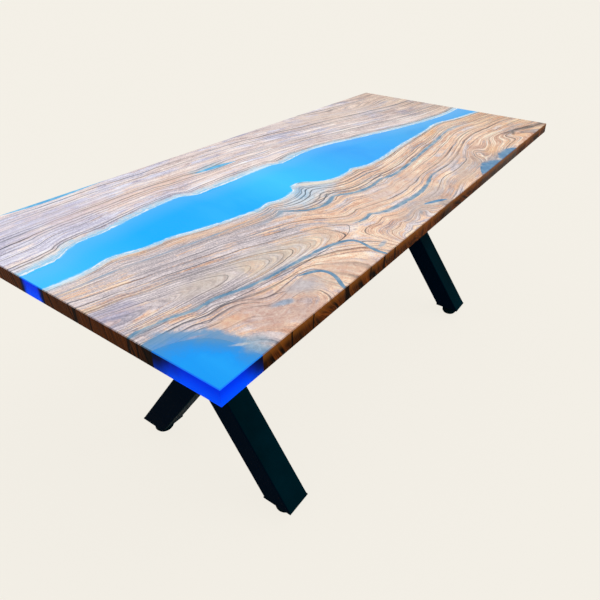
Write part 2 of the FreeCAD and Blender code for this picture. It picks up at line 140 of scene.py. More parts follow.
def maths(operation, *values):
    """One sum, such as ADD or MULTIPLY, of numbers or sockets."""
    made = add_node("ShaderNodeMath", {"operation": operation})
    for socket, value in zip(made.inputs, values):
        feed(socket, value)
    return made.outputs[0]


def times(first, second):
    """One number or socket times another."""
    return maths("MULTIPLY", first, second)


def less(first, second):
    """One number or socket less another."""
    return maths("SUBTRACT", first, second)


def larger(first, second):
    """The larger of two numbers or sockets."""
    return maths("MAXIMUM", first, second)


def apart(first, second):
    """How far two numbers or sockets are from each other."""
    return maths("ABSOLUTE", less(first, second))


def swung(value, reach, middle):
    """A value that swings about a half, made to swing about a middle with another reach."""
    return maths("MULTIPLY_ADD", less(value, 0.5), reach, middle)


def blend(share, first, second, how="MIX"):
    """Two colours mixed by a share."""
    made = add_node("ShaderNodeMix", {"data_type": "RGBA", "blend_type": how})
    for at, value in ((0, share), (6, first), (7, second)):
        feed(made.inputs[at], value)
    return made.outputs[2]


def ease(value, start, end, low=0.0, high=1.0):
    """A smooth step from low to high while the value goes from start to end."""
    made = add_node("ShaderNodeMapRange", {"interpolation_type": "SMOOTHSTEP"}, Value=value)
    for at, number in enumerate((start, end, low, high), start=1):
        feed(made.inputs[at], number)
    return made.outputs[0]


def noise(place, scale, detail=2.0, rough=0.5):
    """Cloudy noise from 0 to 1, by its lumps to the metre, its finer layers and how rough they are."""
    made = add_node("ShaderNodeTexNoise", Vector=place, Scale=scale, Detail=detail, Roughness=rough)
    return made.outputs["Fac"]


def parts_of(vector):
    """The three parts of a vector."""
    return add_node("ShaderNodeSeparateXYZ", Vector=vector).outputs


def point_at(x, y, z=0.0):
    """A vector from its three parts."""
    return add_node("ShaderNodeCombineXYZ", X=x, Y=y, Z=z).outputs[0]


def facing_of():
    """The three parts of the way that the surface faces."""
    return parts_of(add_node("ShaderNodeNewGeometry").outputs["True Normal"])


def shades(value, stops):
    """A colour ramp with a stop for each pair of place and paint."""
    made = add_node("ShaderNodeValToRGB", Fac=value)
    ramp = made.color_ramp.elements
    while len(ramp) < len(stops):
        ramp.new(0.5)
    for element, (at, text) in zip(ramp, stops):
        element.position = at
        element.color = paint(text)
    return made.outputs[0]


def tint(share, colour, text):
    """A colour with a share of a paint over it."""
    return blend(share, colour, paint(text))


def new_group(name, inputs, outputs, kind="ShaderNodeTree"):
    """An empty node group with named sockets, its start's sockets and its end's sockets."""
    tree = begin(bpy.data.node_groups.new(name, kind))
    for side, sockets in (("INPUT", inputs), ("OUTPUT", outputs)):
        for label, sort in sockets.items():
            tree.interface.new_socket(label, in_out=side, socket_type=f"NodeSocket{sort}")
    start = add_node("NodeGroupInput")
    end = add_node("NodeGroupOutput")
    return tree, start.outputs, end.inputs


def use_group(group, **values):
    """The outputs of a group that is placed in the tree, with its named inputs fed."""
    return add_node("ShaderNodeGroup", {"node_tree": group}, **values).outputs


def new_finish(name, **values):
    """A material, its Principled shader, and the point being shaded in metres."""
    material = bpy.data.materials.new(name)
    material.use_nodes = True
    shader = begin(material.node_tree).nodes["Principled BSDF"]
    wire(shader.inputs, **values)
    place = add_node("ShaderNodeTexCoord").outputs["Object"]
    return material, shader, place


def raise_surface(shader, height, depth):
    """Bump the surface by a height of at most the given depth in metres."""
    bump = add_node("ShaderNodeBump", Height=height, Distance=depth)
    wire(shader.inputs, Normal=bump.outputs[0])


print("node helpers ready")

# %% [markdown]
# Most of the figure in the wood follows the two banks of the river. A Float Curve node holds each bank
# as a line of shares: how far along the top it is, and how far across. One group turns a point of the
# top into those shares and into its distance from each bank, and slabs and resin all use it.

# %% The banks of the river as a node group
TOP_LENGTH = 1.8
TOP_WIDTH = 0.84
TOP_HEIGHT = cad_box[1].z
# The two banks as lines of shares; the back bank bends sharply at its notches
FRONT_BANK = [
    (0.0, 0.547), (0.055, 0.540), (0.077, 0.549), (0.117, 0.525), (0.161, 0.510), (0.193, 0.488),
    (0.249, 0.458), (0.289, 0.447), (0.305, 0.453), (0.322, 0.441), (0.362, 0.450), (0.381, 0.481),
    (0.399, 0.470), (0.420, 0.428), (0.444, 0.406), (0.482, 0.403), (0.499, 0.410), (0.514, 0.396),
    (0.535, 0.384), (0.661, 0.400), (0.785, 0.410), (0.839, 0.420), (0.904, 0.385), (0.970, 0.359),
    (1.0, 0.346),
]
BACK_NOTCHES = ((0.247, 0.702), (0.268, 0.672), (0.435, 0.658), (0.448, 0.641))
BACK_BANK = [
    (0.0, 0.640), (0.050, 0.648), (0.064, 0.668), (0.086, 0.681), (0.116, 0.678), (0.149, 0.688),
    (0.204, 0.701), (0.247, 0.702), (0.268, 0.672), (0.355, 0.665), (0.435, 0.658), (0.448, 0.641),
    (0.523, 0.651), (0.658, 0.582), (0.763, 0.516), (0.911, 0.453), (1.0, 0.450),
]


def share_line(along, shares, cusps=()):
    """How far across a line of shares is, at a share of the length; it bends sharply at a cusp."""
    made = add_node("ShaderNodeFloatCurve", Value=along)
    points = made.mapping.curves[0].points
    while len(points) < len(shares):
        points.new(0.5, 0.5)
    for point, share in zip(points, shares):
        point.location = share
        if share in cusps:
            point.handle_type = "VECTOR"
    made.mapping.update()
    return made.outputs[0]


def make_bank_group():
    """Shares of the length and the width at a point, and its distance from each bank in metres."""
    tree, start, end = new_group(
        "river_banks", {"Place": "Vector"},
        {"Along": "Float", "Across": "Float", "Front Gap": "Float", "Back Gap": "Float"})
    x, y, _ = parts_of(start["Place"])
    along = maths("MULTIPLY_ADD", x, 1 / TOP_LENGTH, 0.5)
    across = maths("MULTIPLY_ADD", y, 1 / TOP_WIDTH, 0.5)
    front_gap = less(share_line(along, FRONT_BANK), across)
    back_gap = less(across, share_line(along, BACK_BANK, BACK_NOTCHES))
    wire(end, Along=along, Across=across, Front_Gap=times(front_gap, TOP_WIDTH),
         Back_Gap=times(back_gap, TOP_WIDTH))
    return tree


river_banks = make_bank_group()
print("group:", river_banks.name, "with", len(river_banks.nodes), "nodes")

# %% [markdown]
# The top is sanded and polished, its edges are sawn, and a small chamfer between them gets a painted
# highlight, a mix of the top's and the side's colours. Which of these a point is on shows in the surface's
# own normal, so one group gives a mask for each, and the slabs and the resin share it.

# %% Masks for the polished top, the chamfer and the sawn sides
# How far up the normal of a level face and of a tilted face points, at the least
LEVEL = 0.9
TILTED = 0.4
# The share of the top's colour on the chamfer, where it makes a painted highlight on the dark side's edge
CHAMFER_HIGHLIGHT_MIX = 0.45


def make_face_group():
    """Masks of the top, its chamfer and its underside, from how far the surface faces up."""
    tree, _, end = new_group("cut_faces", {}, {"Top": "Float", "Chamfer": "Float", "Underside": "Float"})
    upward = facing_of()[2]
    top = maths("GREATER_THAN", upward, LEVEL)
    tilted = maths("GREATER_THAN", upward, TILTED)
    wire(end, Top=top, Chamfer=less(tilted, top), Underside=maths("LESS_THAN", upward, -LEVEL))
    return tree


def cut_colour(faces, side, top):
    """The colour of a sawn side and a polished top, and a mix of both on the chamfer as a painted highlight.
    """
    colour = blend(faces["Top"], side, top)
    return blend(faces["Chamfer"], colour, blend(CHAMFER_HIGHLIGHT_MIX, side, top))


cut_faces = make_face_group()
print("group:", cut_faces.name)

# %% [markdown]
# Wood grain is a stack of growth rings cut by the saw. The ring number at a point is all that the figure
# needs: its fraction makes a thin dark line at the end of each ring, its whole part gives each ring its
# own strength, and noise stretched along the rings makes fibres, pores and streaks of warm and cool tone.
# The group below gives these as plain values for any ring number, and the slabs work out their own.

# %% Figure of the wood as a node group
# How far rings are pushed to and fro, how often to a ring, and how many hair lines a ring has
RING_PUSH = 2.2
RING_PUSHES = 0.6
HAIRS_TO_A_RING = 2.7
# Where in its ring a dark line starts, at the near end and at the far end
LINE_STARTS = (0.68, 0.48)


def uneven(ring):
    """Ring numbers pushed to and fro, so that some rings are broad and some are tight."""
    push = add_node("ShaderNodeTexNoise", {"noise_dimensions": "1D"},
                    W=times(ring, RING_PUSHES), Scale=1.0, Detail=1.0)
    return maths("MULTIPLY_ADD", push.outputs["Fac"], RING_PUSH, ring)


def ring_lines(ring, start):
    """A thin dark line at the end of each ring, of its own strength, from 0 to 1."""
    phase = maths("FRACT", ring)
    strength = add_node("ShaderNodeTexWhiteNoise", {"noise_dimensions": "1D"},
                        W=maths("FLOOR", ring)).outputs["Value"]
    edges = times(ease(phase, start, 0.92), ease(phase, 0.93, 1.0, 1.0, 0.0))
    return times(edges, ease(strength, 0.0, 0.8, 0.12, 1.0))


def weighed(parts):
    """A sum of values that swing about a half, each with its own weight, which swings about a half too."""
    total = 0.5
    for value, weight in parts:
        total = swung(value, weight, total)
    return total


def make_figure_group():
    """Tone, warmth, lines and fibre of polished wood from a ring number and a point in metres."""
    values = ("Tone", "Warmth", "Line", "Gleam", "Hair", "Fibre", "Pores")
    tree, start, end = new_group(
        "slab_figure", {"Ring": "Float", "Place": "Vector"}, {name: "Float" for name in values})
    place = start["Place"]
    x, y, _ = parts_of(place)
    ring = uneven(start["Ring"])

    def grained(stretch, across, detail, rough=0.5, scale=1.0):
        """Noise drawn out along the rings, by its lumps to the metre along them and to the ring across."""
        drawn = point_at(times(x, stretch), times(ring, across), times(y, stretch))
        return noise(drawn, scale, detail, rough)

    clouds = noise(place, 7.0, 4.0, 0.6)
    speckle = noise(place, 260.0, 2.0, 0.7)
    bands = grained(5.0, 1.3, 3.0)
    strands = grained(9.0, 5.0, 3.0, 0.6)
    far_strands = grained(4.0, 2.0, 3.0, 0.6)
    tinges = grained(9.0, 1.7, 2.0, 0.6, 1.3)
    streaks = grained(4.0, 0.5, 4.0, 0.6)
    ripple = grained(85.0, 0.8, 1.0)
    fibre = grained(30.0, 10.0, 3.0, 0.65)
    fading = ease(grained(8.0, 0.7, 2.0), 0.32, 0.58, 0.5, 1.0)
    pores = ease(grained(110.0, 26.0, 2.0, 0.6), 0.56, 0.7)
    afar = ease(x, -0.4, 0.6)
    rippled = swung(ripple, ease(streaks, 0.48, 0.62), 0.5)
    tone = weighed((
        (bands, 0.6), (strands, 1.0), (far_strands, times(afar, 1.5)), (fibre, 1.0), (clouds, 0.7),
        (speckle, 0.9), (rippled, 0.55)))
    warmth = weighed(((streaks, 1.2), (tinges, 1.2), (clouds, 0.9), (speckle, 0.5)))
    lines = ring_lines(ring, ease(afar, 0.0, 1.0, *LINE_STARTS))
    phase = maths("FRACT", ring)
    gleam = times(ease(phase, 0.0, 0.08), ease(phase, 0.12, 0.3, 1.0, 0.0))
    hair = ring_lines(times(ring, HAIRS_TO_A_RING), 0.6)
    wire(end, Tone=tone, Warmth=warmth, Line=times(lines, fading), Hair=hair,
         Gleam=times(gleam, fading), Fibre=fibre, Pores=pores)
    return tree


slab_figure = make_figure_group()
print("group:", slab_figure.name, "with", len(slab_figure.nodes), "nodes")

# %% [markdown]
# The front slab was sawn through a crotch of the tree, so its rings bend. Beside the river they follow
# the bank. Near the end they close in long loops round one eye and bend round the missing corner, and
# further along they run out to the front edge. An eye or a knot is an ellipse: the rings count up
# towards the middle of the long eye, and they swell round each knot.

# %% Ring numbers of the front slab
# How far the rings lean along and across in a metre of depth, and how far they are waved
SLANT = (0.55, -0.4)
WAVE_REACH = (0.030, 0.020)
# So great a half height that an ellipse takes no notice of the height
HEIGHT_IGNORED = 1000.0
# Lines of shares that the rings keep beside, and the points where each bends sharply
INNER_LINE = [
    (0.0, 0.452), (0.10, 0.425), (0.20, 0.393), (0.28, 0.370), (0.298, 0.380), (0.311, 0.345),
    (0.330, 0.313), (0.352, 0.305), (0.371, 0.312), (0.384, 0.322), (0.397, 0.305), (0.413, 0.284),
    (0.442, 0.268), (0.470, 0.269), (0.486, 0.274), (0.501, 0.264), (0.549, 0.260), (0.632, 0.280),
    (0.727, 0.305), (0.816, 0.328), (0.91, 0.290), (1.0, 0.258),
]
INNER_CUSPS = ((0.298, 0.380), (0.384, 0.322), (0.486, 0.274))
OUTER_LINE = [
    (0.0, 0.17), (0.326, 0.163), (0.345, 0.153), (0.363, 0.158), (0.376, 0.139), (0.394, 0.125),
    (0.430, 0.116), (0.470, 0.111), (0.508, 0.122), (0.552, 0.146), (0.62, 0.143), (0.70, 0.165),
    (0.78, 0.207), (0.90, 0.195), (1.0, 0.160),
]
OUTER_CUSPS = ((0.363, 0.158),)
LONG_LINE = [
    (0.0, 0.248), (0.041, 0.234), (0.069, 0.212), (0.088, 0.211), (0.119, 0.189), (0.204, 0.160),
    (0.252, 0.145), (0.270, 0.127), (0.282, 0.104), (0.286, 0.0), (1.0, 0.0),
]
LONG_CUSPS = ((0.282, 0.104), (0.286, 0.0))
LONG_CRACK_END = 0.284
# The long eye: its centre, turn, half length and half width in metres, its rings to one size of it,
# and how many sizes out they start
LOOP_EYE = ((-0.936, -0.143), -0.227, 0.615, 0.085)
LOOP_RINGS = 9.0
LOOP_REACH = 2.0
# Where along the top the loops give way to rings that run beside the lines
LOOPS_END = (0.27, 0.34)
# Rings from a bank to the next line, from the inner to the outer line, past it, and round the corner
BANK_RINGS = 10.0
MIDDLE_RINGS = 7.0
OUTSIDE_RINGS = 45.0
CORNER_RINGS = 9.0
# The missing corner as an ellipse: its centre, turn, half length and half width in metres
POCKET_EYE = ((-0.9, -0.42), 0.0, 0.095, 0.152)
# Each knot: its centre, turn, half length and half width in metres, and how many rings it adds
FRONT_KNOTS = (
    ((0.375, -0.325), 0.5, 0.070, 0.030, 2.6),
    ((-0.150, -0.380), 0.2, 0.060, 0.026, 2.2),
    ((0.690, -0.360), -0.35, 0.150, 0.036, 3.2),
    ((-0.210, -0.115), 1.2, 0.060, 0.030, -1.6),
    ((-0.030, -0.190), 1.3, 0.050, 0.028, -1.4),
    ((-0.690, -0.350), 0.4, 0.060, 0.034, 0.9),
    ((-0.640, -0.385), -0.3, 0.045, 0.024, -1.0),
    ((-0.570, -0.330), 0.2, 0.060, 0.030, -1.2),
)


def flowing_place(place):
    """A point slid along the slant of the rings to the height of the top, and gently waved."""
    x, y, z = parts_of(place)
    below = less(z, TOP_HEIGHT)
    wave = add_node("ShaderNodeTexNoise", Vector=place, Scale=8.0, Detail=4.0, Roughness=0.55)
    wave_x, wave_y, _ = parts_of(wave.outputs["Color"])
    moved = []
    for number, swing, lean, reach in zip((x, y), (wave_x, wave_y), SLANT, WAVE_REACH):
        slid = maths("MULTIPLY_ADD", below, lean, number)
        moved.append(swung(swing, reach, slid))
    return point_at(*moved)


def length_of(vector):
    """The length of a vector."""
    made = add_node("ShaderNodeVectorMath", {"operation": "LENGTH"})
    feed(made.inputs[0], vector)
    return made.outputs["Value"]


def squeezed(place, centre, turn, half_length, half_width):
    """A point in the frame of an ellipse in plan, squeezed so that its outline is a circle of radius 1."""
    return add_node(
        "ShaderNodeMapping", {"vector_type": "TEXTURE"}, Vector=place, Location=(*centre, 0),
        Rotation=(0, 0, turn), Scale=(half_length, half_width, HEIGHT_IGNORED)).outputs[0]


def eye(place, *ellipse):
    """How far a point is from the middle of an ellipse in plan, where its outline is 1."""
    return length_of(squeezed(place, *ellipse))


def add_knots(flow, rings, knots):
    """Rings that swell round each knot and die away from it."""
    for *ellipse, swell in knots:
        far = eye(flow, *ellipse)
        fall = maths("EXPONENT", times(times(far, far), -1.0))
        rings = maths("MULTIPLY_ADD", fall, swell, rings)
    return rings


def share_between(gap, next_gap):
    """How far a point is from one line to the next, from its gaps past the two lines."""
    share = maths("DIVIDE", gap, less(gap, next_gap))
    return maths("MINIMUM", larger(share, 0.0), 1.0)


def corner_rings(along, across, long_line):
    """Rings that run beside the long crack and bend down with it round the missing corner."""
    shares = (maths("DIVIDE", along, LONG_CRACK_END), maths("DIVIDE", across, long_line))
    cubes = [maths("POWER", larger(share, 0.0), 3.0) for share in shares]
    return times(maths("POWER", maths("ADD", *cubes), 1 / 3), CORNER_RINGS)


def front_rings(place):
    """The ring number at a point of the front slab."""
    flow = flowing_place(place)
    banks = use_group(river_banks, Place=flow)
    along, across = banks["Along"], banks["Across"]
    past_bank = maths("DIVIDE", banks["Front Gap"], TOP_WIDTH)
    past_inner = less(share_line(along, INNER_LINE, INNER_CUSPS), across)
    past_outer = less(share_line(along, OUTER_LINE, OUTER_CUSPS), across)
    outside = times(larger(past_outer, 0.0), OUTSIDE_RINGS)
    layers = maths("MULTIPLY_ADD", share_between(past_inner, past_outer), MIDDLE_RINGS, outside)
    inside_loop = less(LOOP_REACH, eye(flow, *LOOP_EYE))
    loops = times(larger(inside_loop, 0.0), LOOP_RINGS)
    rings = maths("MULTIPLY_ADD", ease(along, *LOOPS_END), less(layers, loops), loops)
    rings = maths("MULTIPLY_ADD", share_between(past_bank, past_inner), BANK_RINGS, rings)
    here = use_group(river_banks, Place=place)
    long_line = share_line(here["Along"], LONG_LINE, LONG_CUSPS)
    in_corner = maths("GREATER_THAN", long_line, here["Across"])
    corner = less(corner_rings(along, across, long_line), rings)
    rings = maths("MULTIPLY_ADD", in_corner, corner, rings)
    return add_knots(flow, rings, FRONT_KNOTS)


print("knots in the front slab:", len(FRONT_KNOTS))

# %% [markdown]
# Some lines stand out from the rest: loops round the long eye, tight folds that crowd beside the bump in
# the bank, and a few bold rings beside the missing corner. The loops and the bold rings are drawn one by
# one, each as a pen line with its own darkness, and the folds are counted as rings are.

# %% Lines that stand out on the front slab
# The share of a line's width that is at full strength
PEN_CORE = 0.3
# Each loop: how big it is beside the eye's outline, and how dark it is
LOOP_LINES = (
    (1.0, 0.85), (0.90, 0.30), (0.80, 0.40), (0.72, 0.80), (0.68, 0.45), (0.62, 0.55), (0.54, 0.45),
    (0.46, 0.55),
)
LOOP_LINE_HALF = 0.0016
LOOP_INK = "30343C"
FOLD_COUNT = 8.0
FOLDS_RUN = (0.24, 0.56)
FOLDS_FADE = 0.064
FOLDS_STRENGTH = 0.95
FOLD_INK = "2C3C50"
# Each bold ring beside the missing corner: its line of shares, and how dark it is
CORNER_LINES = (
    (((0.030, 0.215), (0.045, 0.207), (0.054, 0.204), (0.063, 0.193), (0.078, 0.194), (0.090, 0.187),
      (0.101, 0.172), (0.115, 0.159), (0.129, 0.147), (0.146, 0.139), (0.176, 0.127), (0.189, 0.114),
      (0.200, 0.093)), 0.60),
    (((0.063, 0.173), (0.072, 0.179), (0.084, 0.178), (0.096, 0.168), (0.109, 0.149), (0.122, 0.123),
      (0.137, 0.110), (0.148, 0.095)), 0.65),
    (((0.020, 0.196), (0.033, 0.180), (0.044, 0.178), (0.052, 0.173), (0.059, 0.157), (0.070, 0.161),
      (0.082, 0.160), (0.095, 0.155), (0.105, 0.139), (0.113, 0.117), (0.118, 0.093)), 0.70),
    (((0.040, 0.166), (0.052, 0.147), (0.061, 0.141), (0.070, 0.136)), 0.6),
)
CORNER_LINE_HALF = 0.0022
CORNER_LINE_FADE = 0.008
CORNER_INK = "625A62"


def pen_line(off, half_width, strength):
    """A mask of a line with soft edges, from the distance to its middle."""
    return ease(off, half_width * PEN_CORE, half_width, strength, 0.0)


def off_line(banks, line, cusps=()):
    """How far a point is from a line of shares, in metres across the top."""
    return times(apart(banks["Across"], share_line(banks["Along"], line, cusps)), TOP_WIDTH)


def within_run(along, start, stop, fade):
    """1 between two shares of the length, with a fade to 0 at both."""
    half_run = (stop - start) / 2
    return ease(apart(along, (start + stop) / 2), half_run - fade, half_run, 1.0, 0.0)


def add_loops(place, colour):
    """A colour with the thin dark loops round the long eye."""
    _, _, half_length, half_width = LOOP_EYE
    inside = squeezed(flowing_place(place), *LOOP_EYE)
    far = length_of(inside)
    steep = add_node("ShaderNodeVectorMath", {"operation": "MULTIPLY"})
    feed(steep.inputs[0], inside)
    feed(steep.inputs[1], (1 / half_length, 1 / half_width, 0))
    slope = maths("DIVIDE", length_of(steep.outputs[0]), far)
    pressure = ease(noise(place, 11.0, 3.0), 0.3, 0.6, 0.55, 1.0)
    for size, strength in LOOP_LINES:
        off = maths("DIVIDE", apart(far, size), slope)
        drawn = pen_line(off, LOOP_LINE_HALF, strength)
        colour = tint(times(drawn, pressure), colour, LOOP_INK)
    return colour


def add_folds(place, colour):
    """A colour with the tight folds between the bank and the inner crack beside the bump."""
    banks = use_group(river_banks, Place=flowing_place(place))
    past_bank = maths("DIVIDE", banks["Front Gap"], TOP_WIDTH)
    inner = share_line(banks["Along"], INNER_LINE, INNER_CUSPS)
    share = share_between(past_bank, less(inner, banks["Across"]))
    lines = ring_lines(times(share, FOLD_COUNT), 0.55)
    run = times(within_run(banks["Along"], *FOLDS_RUN, FOLDS_FADE), FOLDS_STRENGTH)
    near = times(run, ease(share, 0.12, 0.3))
    return tint(times(lines, near), colour, FOLD_INK)


def add_corner_lines(place, colour):
    """A colour with the few bold ring lines between the long crack and the missing corner."""
    banks = use_group(river_banks, Place=place)
    for line, strength in CORNER_LINES:
        drawn = pen_line(off_line(banks, line), CORNER_LINE_HALF, strength)
        run = within_run(banks["Along"], line[0][0], line[-1][0], CORNER_LINE_FADE)
        colour = tint(times(drawn, run), colour, CORNER_INK)
    return colour


print("drawn lines:", len(LOOP_LINES), "loops and", len(CORNER_LINES), "bold rings")

# %% [markdown]
# The long cracks in the front slab are filled with resin, and a ragged film of it has crept over the
# wood beside them. Each crack follows one of the lines above or a vein, for a part of the length.

# %% The film of resin beside the cracks
VEIN_LINE = [
    (0.0, 0.497), (0.07, 0.483), (0.13, 0.455), (0.19, 0.430), (0.25, 0.410), (0.29, 0.405), (1.0, 0.4),
]
# Each crack: its line, its cusps, where it starts and stops, and how far its film reaches in metres
CRACK_LINES = (
    (LONG_LINE, LONG_CUSPS, -0.05, 0.30, 0.014),
    (INNER_LINE, INNER_CUSPS, 0.22, 0.88, 0.016),
    (OUTER_LINE, OUTER_CUSPS, 0.315, 0.60, 0.013),
    (VEIN_LINE, (), -0.05, 0.31, 0.007),
)
FADE_OUT = 0.04
FILM_BLUE = "88A2BA"


def within(gap, reach, core, most=1.0):
    """A mask that is full in the core of a reach and fades to 0 at its end."""
    return ease(gap, times(reach, core), reach, most, 0.0)


def add_crack_film(place, colour):
    """A colour with the ragged film beside the cracks."""
    banks = use_group(river_banks, Place=place)
    ragged = ease(noise(place, 28.0, 4.0, 0.65), 0.3, 0.7, 0.25, 1.0)
    film = 0.0
    for line, cusps, start, stop, width in CRACK_LINES:
        near = within(off_line(banks, line, cusps), times(ragged, width), 0.2, 0.85)
        near = times(near, within_run(banks["Along"], start, stop, FADE_OUT))
        film = larger(film, near)
    film = times(film, ease(noise(place, 13.0, 3.0), 0.35, 0.6, 0.4, 1.0))
    return tint(film, colour, FILM_BLUE)


print("filmed cracks:", len(CRACK_LINES))

# %% [markdown]
# The back slab is plainer. Near the river its rings keep beside the bank, and towards the back edge they
# settle to one long even line.

# %% Ring numbers of the back slab
BACK_LINE = [
    (0.0, 0.845), (0.10, 0.860), (0.27, 0.853), (0.45, 0.830), (0.55, 0.790), (0.66, 0.735), (0.78, 0.670),
    (0.90, 0.610), (1.0, 0.580),
]
BACK_KNOTS = (((0.540, 0.319), -0.25, 0.26, 0.045, 2.8), ((-0.260, 0.255), -0.1, 0.09, 0.030, 1.2))
# Rings to a share of the width past that line, at the near end and at the far end
BACK_SPREAD = (64.0, 46.0)


def back_rings(place):
    """The ring number at a point of the back slab."""
    flow = flowing_place(place)
    banks = use_group(river_banks, Place=flow)
    past_bank = maths("DIVIDE", banks["Back Gap"], TOP_WIDTH)
    past_line = less(banks["Across"], share_line(banks["Along"], BACK_LINE))
    spread = ease(banks["Along"], 0.1, 1.0, *BACK_SPREAD)
    rings = times(larger(past_line, 0.0), spread)
    rings = maths("MULTIPLY_ADD", share_between(past_bank, past_line), BANK_RINGS, rings)
    return add_knots(flow, rings, BACK_KNOTS)


print("knots in the back slab:", len(BACK_KNOTS))

# %% [markdown]
# Along the river the wood thins out under the resin, and its edge is broken into fine splinters. Right
# at the bank its raw edge shows as a thin white line, and behind that lies a pale ragged band with a film
# of blue. Both slabs have it, so it is a group that takes the distance from the bank and gives three
# ragged masks. The river's blue is worked out here too, because it fills the gaps between the splinters.

# %% The pale band beside the river as a node group
BANK_SPLINTERS = 0.016
RIM_WIDTH = 0.0065
# The river's blue by the share of the length
RIVER_SHADES = (
    (0.035, "3ABFFF"), (0.14, "00B0FD"), (0.25, "00ADFE"), (0.30, "06B2FF"), (0.38, "2AC5FF"),
    (0.48, "24B4FC"), (0.57, "14A2FB"), (0.64, "06A2FB"), (0.76, "22A2EF"),
)
SWIRL_BLUE = "4ACBFF"


def make_band_group():
    """Masks of the white rim, the pale band and the blue film at a bank."""
    tree, start, end = new_group(
        "pale_band", {"Gap": "Float", "Place": "Vector", "Width": "Float"},
        {"Rim": "Float", "Band": "Float", "Film": "Float"})
    place, gap, width = start["Place"], start["Gap"], start["Width"]
    ragged = noise(place, 16.0, 4.0, 0.65)
    fine = noise(place, 70.0, 3.0, 0.6)
    broken = noise(place, 30.0, 5.0, 0.75)
    band_reach = times(width, ease(ragged, 0.28, 0.72, 0.6, 1.6))
    film_reach = times(width, ease(fine, 0.3, 0.7, 0.1, 1.0))
    rim_reach = ease(broken, 0.38, 0.66, 0.0, RIM_WIDTH)
    patchy = ease(fine, 0.2, 0.6, 0.55, 1.0)
    wire(end, Rim=within(gap, rim_reach, 0.6), Film=within(gap, film_reach, 0.4),
         Band=times(within(gap, band_reach, 0.35), patchy))
    return tree


def splintered(place, gap):
    """The gap from a bank whose edge is broken into fine splinters."""
    return swung(noise(place, 55.0, 5.0, 0.65), BANK_SPLINTERS, gap)


def river_swirl(place):
    """The slow swirls in the resin, from 0 to 1."""
    made = add_node("ShaderNodeTexNoise", Vector=place, Scale=3.2, Detail=5.0, Distortion=1.4)
    return made.outputs["Fac"]


def river_blue(swirl, along):
    """Azure that is paler and deeper by turns along the river, with slow swirls."""
    ground = shades(along, RIVER_SHADES)
    return tint(ease(swirl, 0.36, 0.64, 0.0, 0.22), ground, SWIRL_BLUE)


pale_band = make_band_group()
print("group:", pale_band.name)

# %% [markdown]
# Many patches of the slabs have a colour of their own: blue where resin soaked into the bump and the near
# end, orange beside the river, and a dark streak that runs out at the far corner. Each is an ellipse with
# a ragged edge and a mottled colour. Some lie under the ring lines, and some are veils that soften them.
# Round the missing corner the wood thins out, so the blue below shows through it.

# %% Tinted patches
# Each patch: its centre, turn, half length and half width in metres, its strength and its colour
FRONT_PATCHES = (
    ((-0.250, -0.085), 0.1, 0.160, 0.080, 0.85, "CEE0F0"),
    ((-0.238, -0.060), 0.9, 0.055, 0.026, 0.70, "96C2E2"),
    ((0.690, -0.388), -0.2, 0.090, 0.022, 0.60, "F6C494"),
    ((0.360, -0.400), 0.0, 0.190, 0.034, 0.55, "86A6BC"),
    ((-0.875, -0.140), 0.2, 0.075, 0.050, 0.55, "A9A9CC"),
    ((-0.100, -0.370), 0.1, 0.190, 0.035, 0.40, "A5A9AE"),
    ((0.270, -0.350), 0.1, 0.180, 0.035, 0.35, "B3ABA2"),
    ((0.485, -0.105), 0.1, 0.090, 0.022, 0.60, "F0AE66"),
    ((-0.560, -0.040), -0.35, 0.200, 0.022, 0.45, "F2BC84"),
    ((-0.690, -0.330), 0.5, 0.100, 0.060, 0.30, "D9A283"),
    ((0.790, -0.375), -0.31, 0.150, 0.018, 0.60, "7A5A46"),
    ((0.780, -0.362), -0.30, 0.130, 0.007, 0.9, "33261F"),
    ((0.830, -0.388), -0.26, 0.085, 0.006, 1.0, "2B1F19"),
    ((0.690, -0.352), 0.40, 0.035, 0.009, 0.80, "4A4038"),
    ((0.560, -0.385), -0.10, 0.090, 0.022, 0.55, "F0B884"),
)
# Patches that lie over the ring lines and soften them
FRONT_VEILS = (
    ((-0.700, -0.197), -0.227, 0.150, 0.032, 0.60, "CDBEB8"),
    ((-0.560, -0.222), -0.227, 0.240, 0.055, 0.60, "CEC0B2"),
    ((-0.705, -0.365), -0.50, 0.165, 0.072, 0.85, "D2B2A4"),
    ((-0.570, -0.375), -0.20, 0.090, 0.040, 0.55, "D2BCAC"),
    ((-0.765, -0.318), -0.50, 0.050, 0.024, 0.75, "E6BA9A"),
    ((-0.751, -0.342), -0.50, 0.024, 0.012, 0.60, "B08C86"),
    ((-0.690, -0.392), 0.20, 0.060, 0.016, 0.50, "E0BCA8"),
    ((-0.600, -0.352), -0.40, 0.050, 0.028, 0.55, "B4B4BE"),
    ((-0.674, -0.354), -0.50, 0.034, 0.011, 0.75, "86A4C0"),
    ((-0.495, -0.385), -1.15, 0.075, 0.055, 0.72, "DFBDA8"),
    ((-0.367, -0.390), 0.10, 0.022, 0.006, 0.55, "7FA8C6"),
    ((-0.160, -0.385), 0.60, 0.018, 0.006, 0.65, "7F9CB2"),
    ((-0.160, -0.060), -0.6, 0.068, 0.014, 0.75, "F1E6D6"),
    ((-0.070, -0.253), 0.02, 0.260, 0.048, 0.66, "DFC0AE"),
    ((0.300, -0.288), -0.15, 0.180, 0.034, 0.50, "DCBCA8"),
    ((-0.060, -0.366), 0.0, 0.230, 0.044, 0.50, "CCB2A4"),
    ((0.170, -0.374), 0.10, 0.130, 0.040, 0.50, "C6AFA5"),
    ((0.440, -0.360), 0.20, 0.090, 0.028, 0.50, "EDBB88"),
    ((0.100, -0.395), 0.0, 0.090, 0.016, 0.45, "E9BE93"),
)
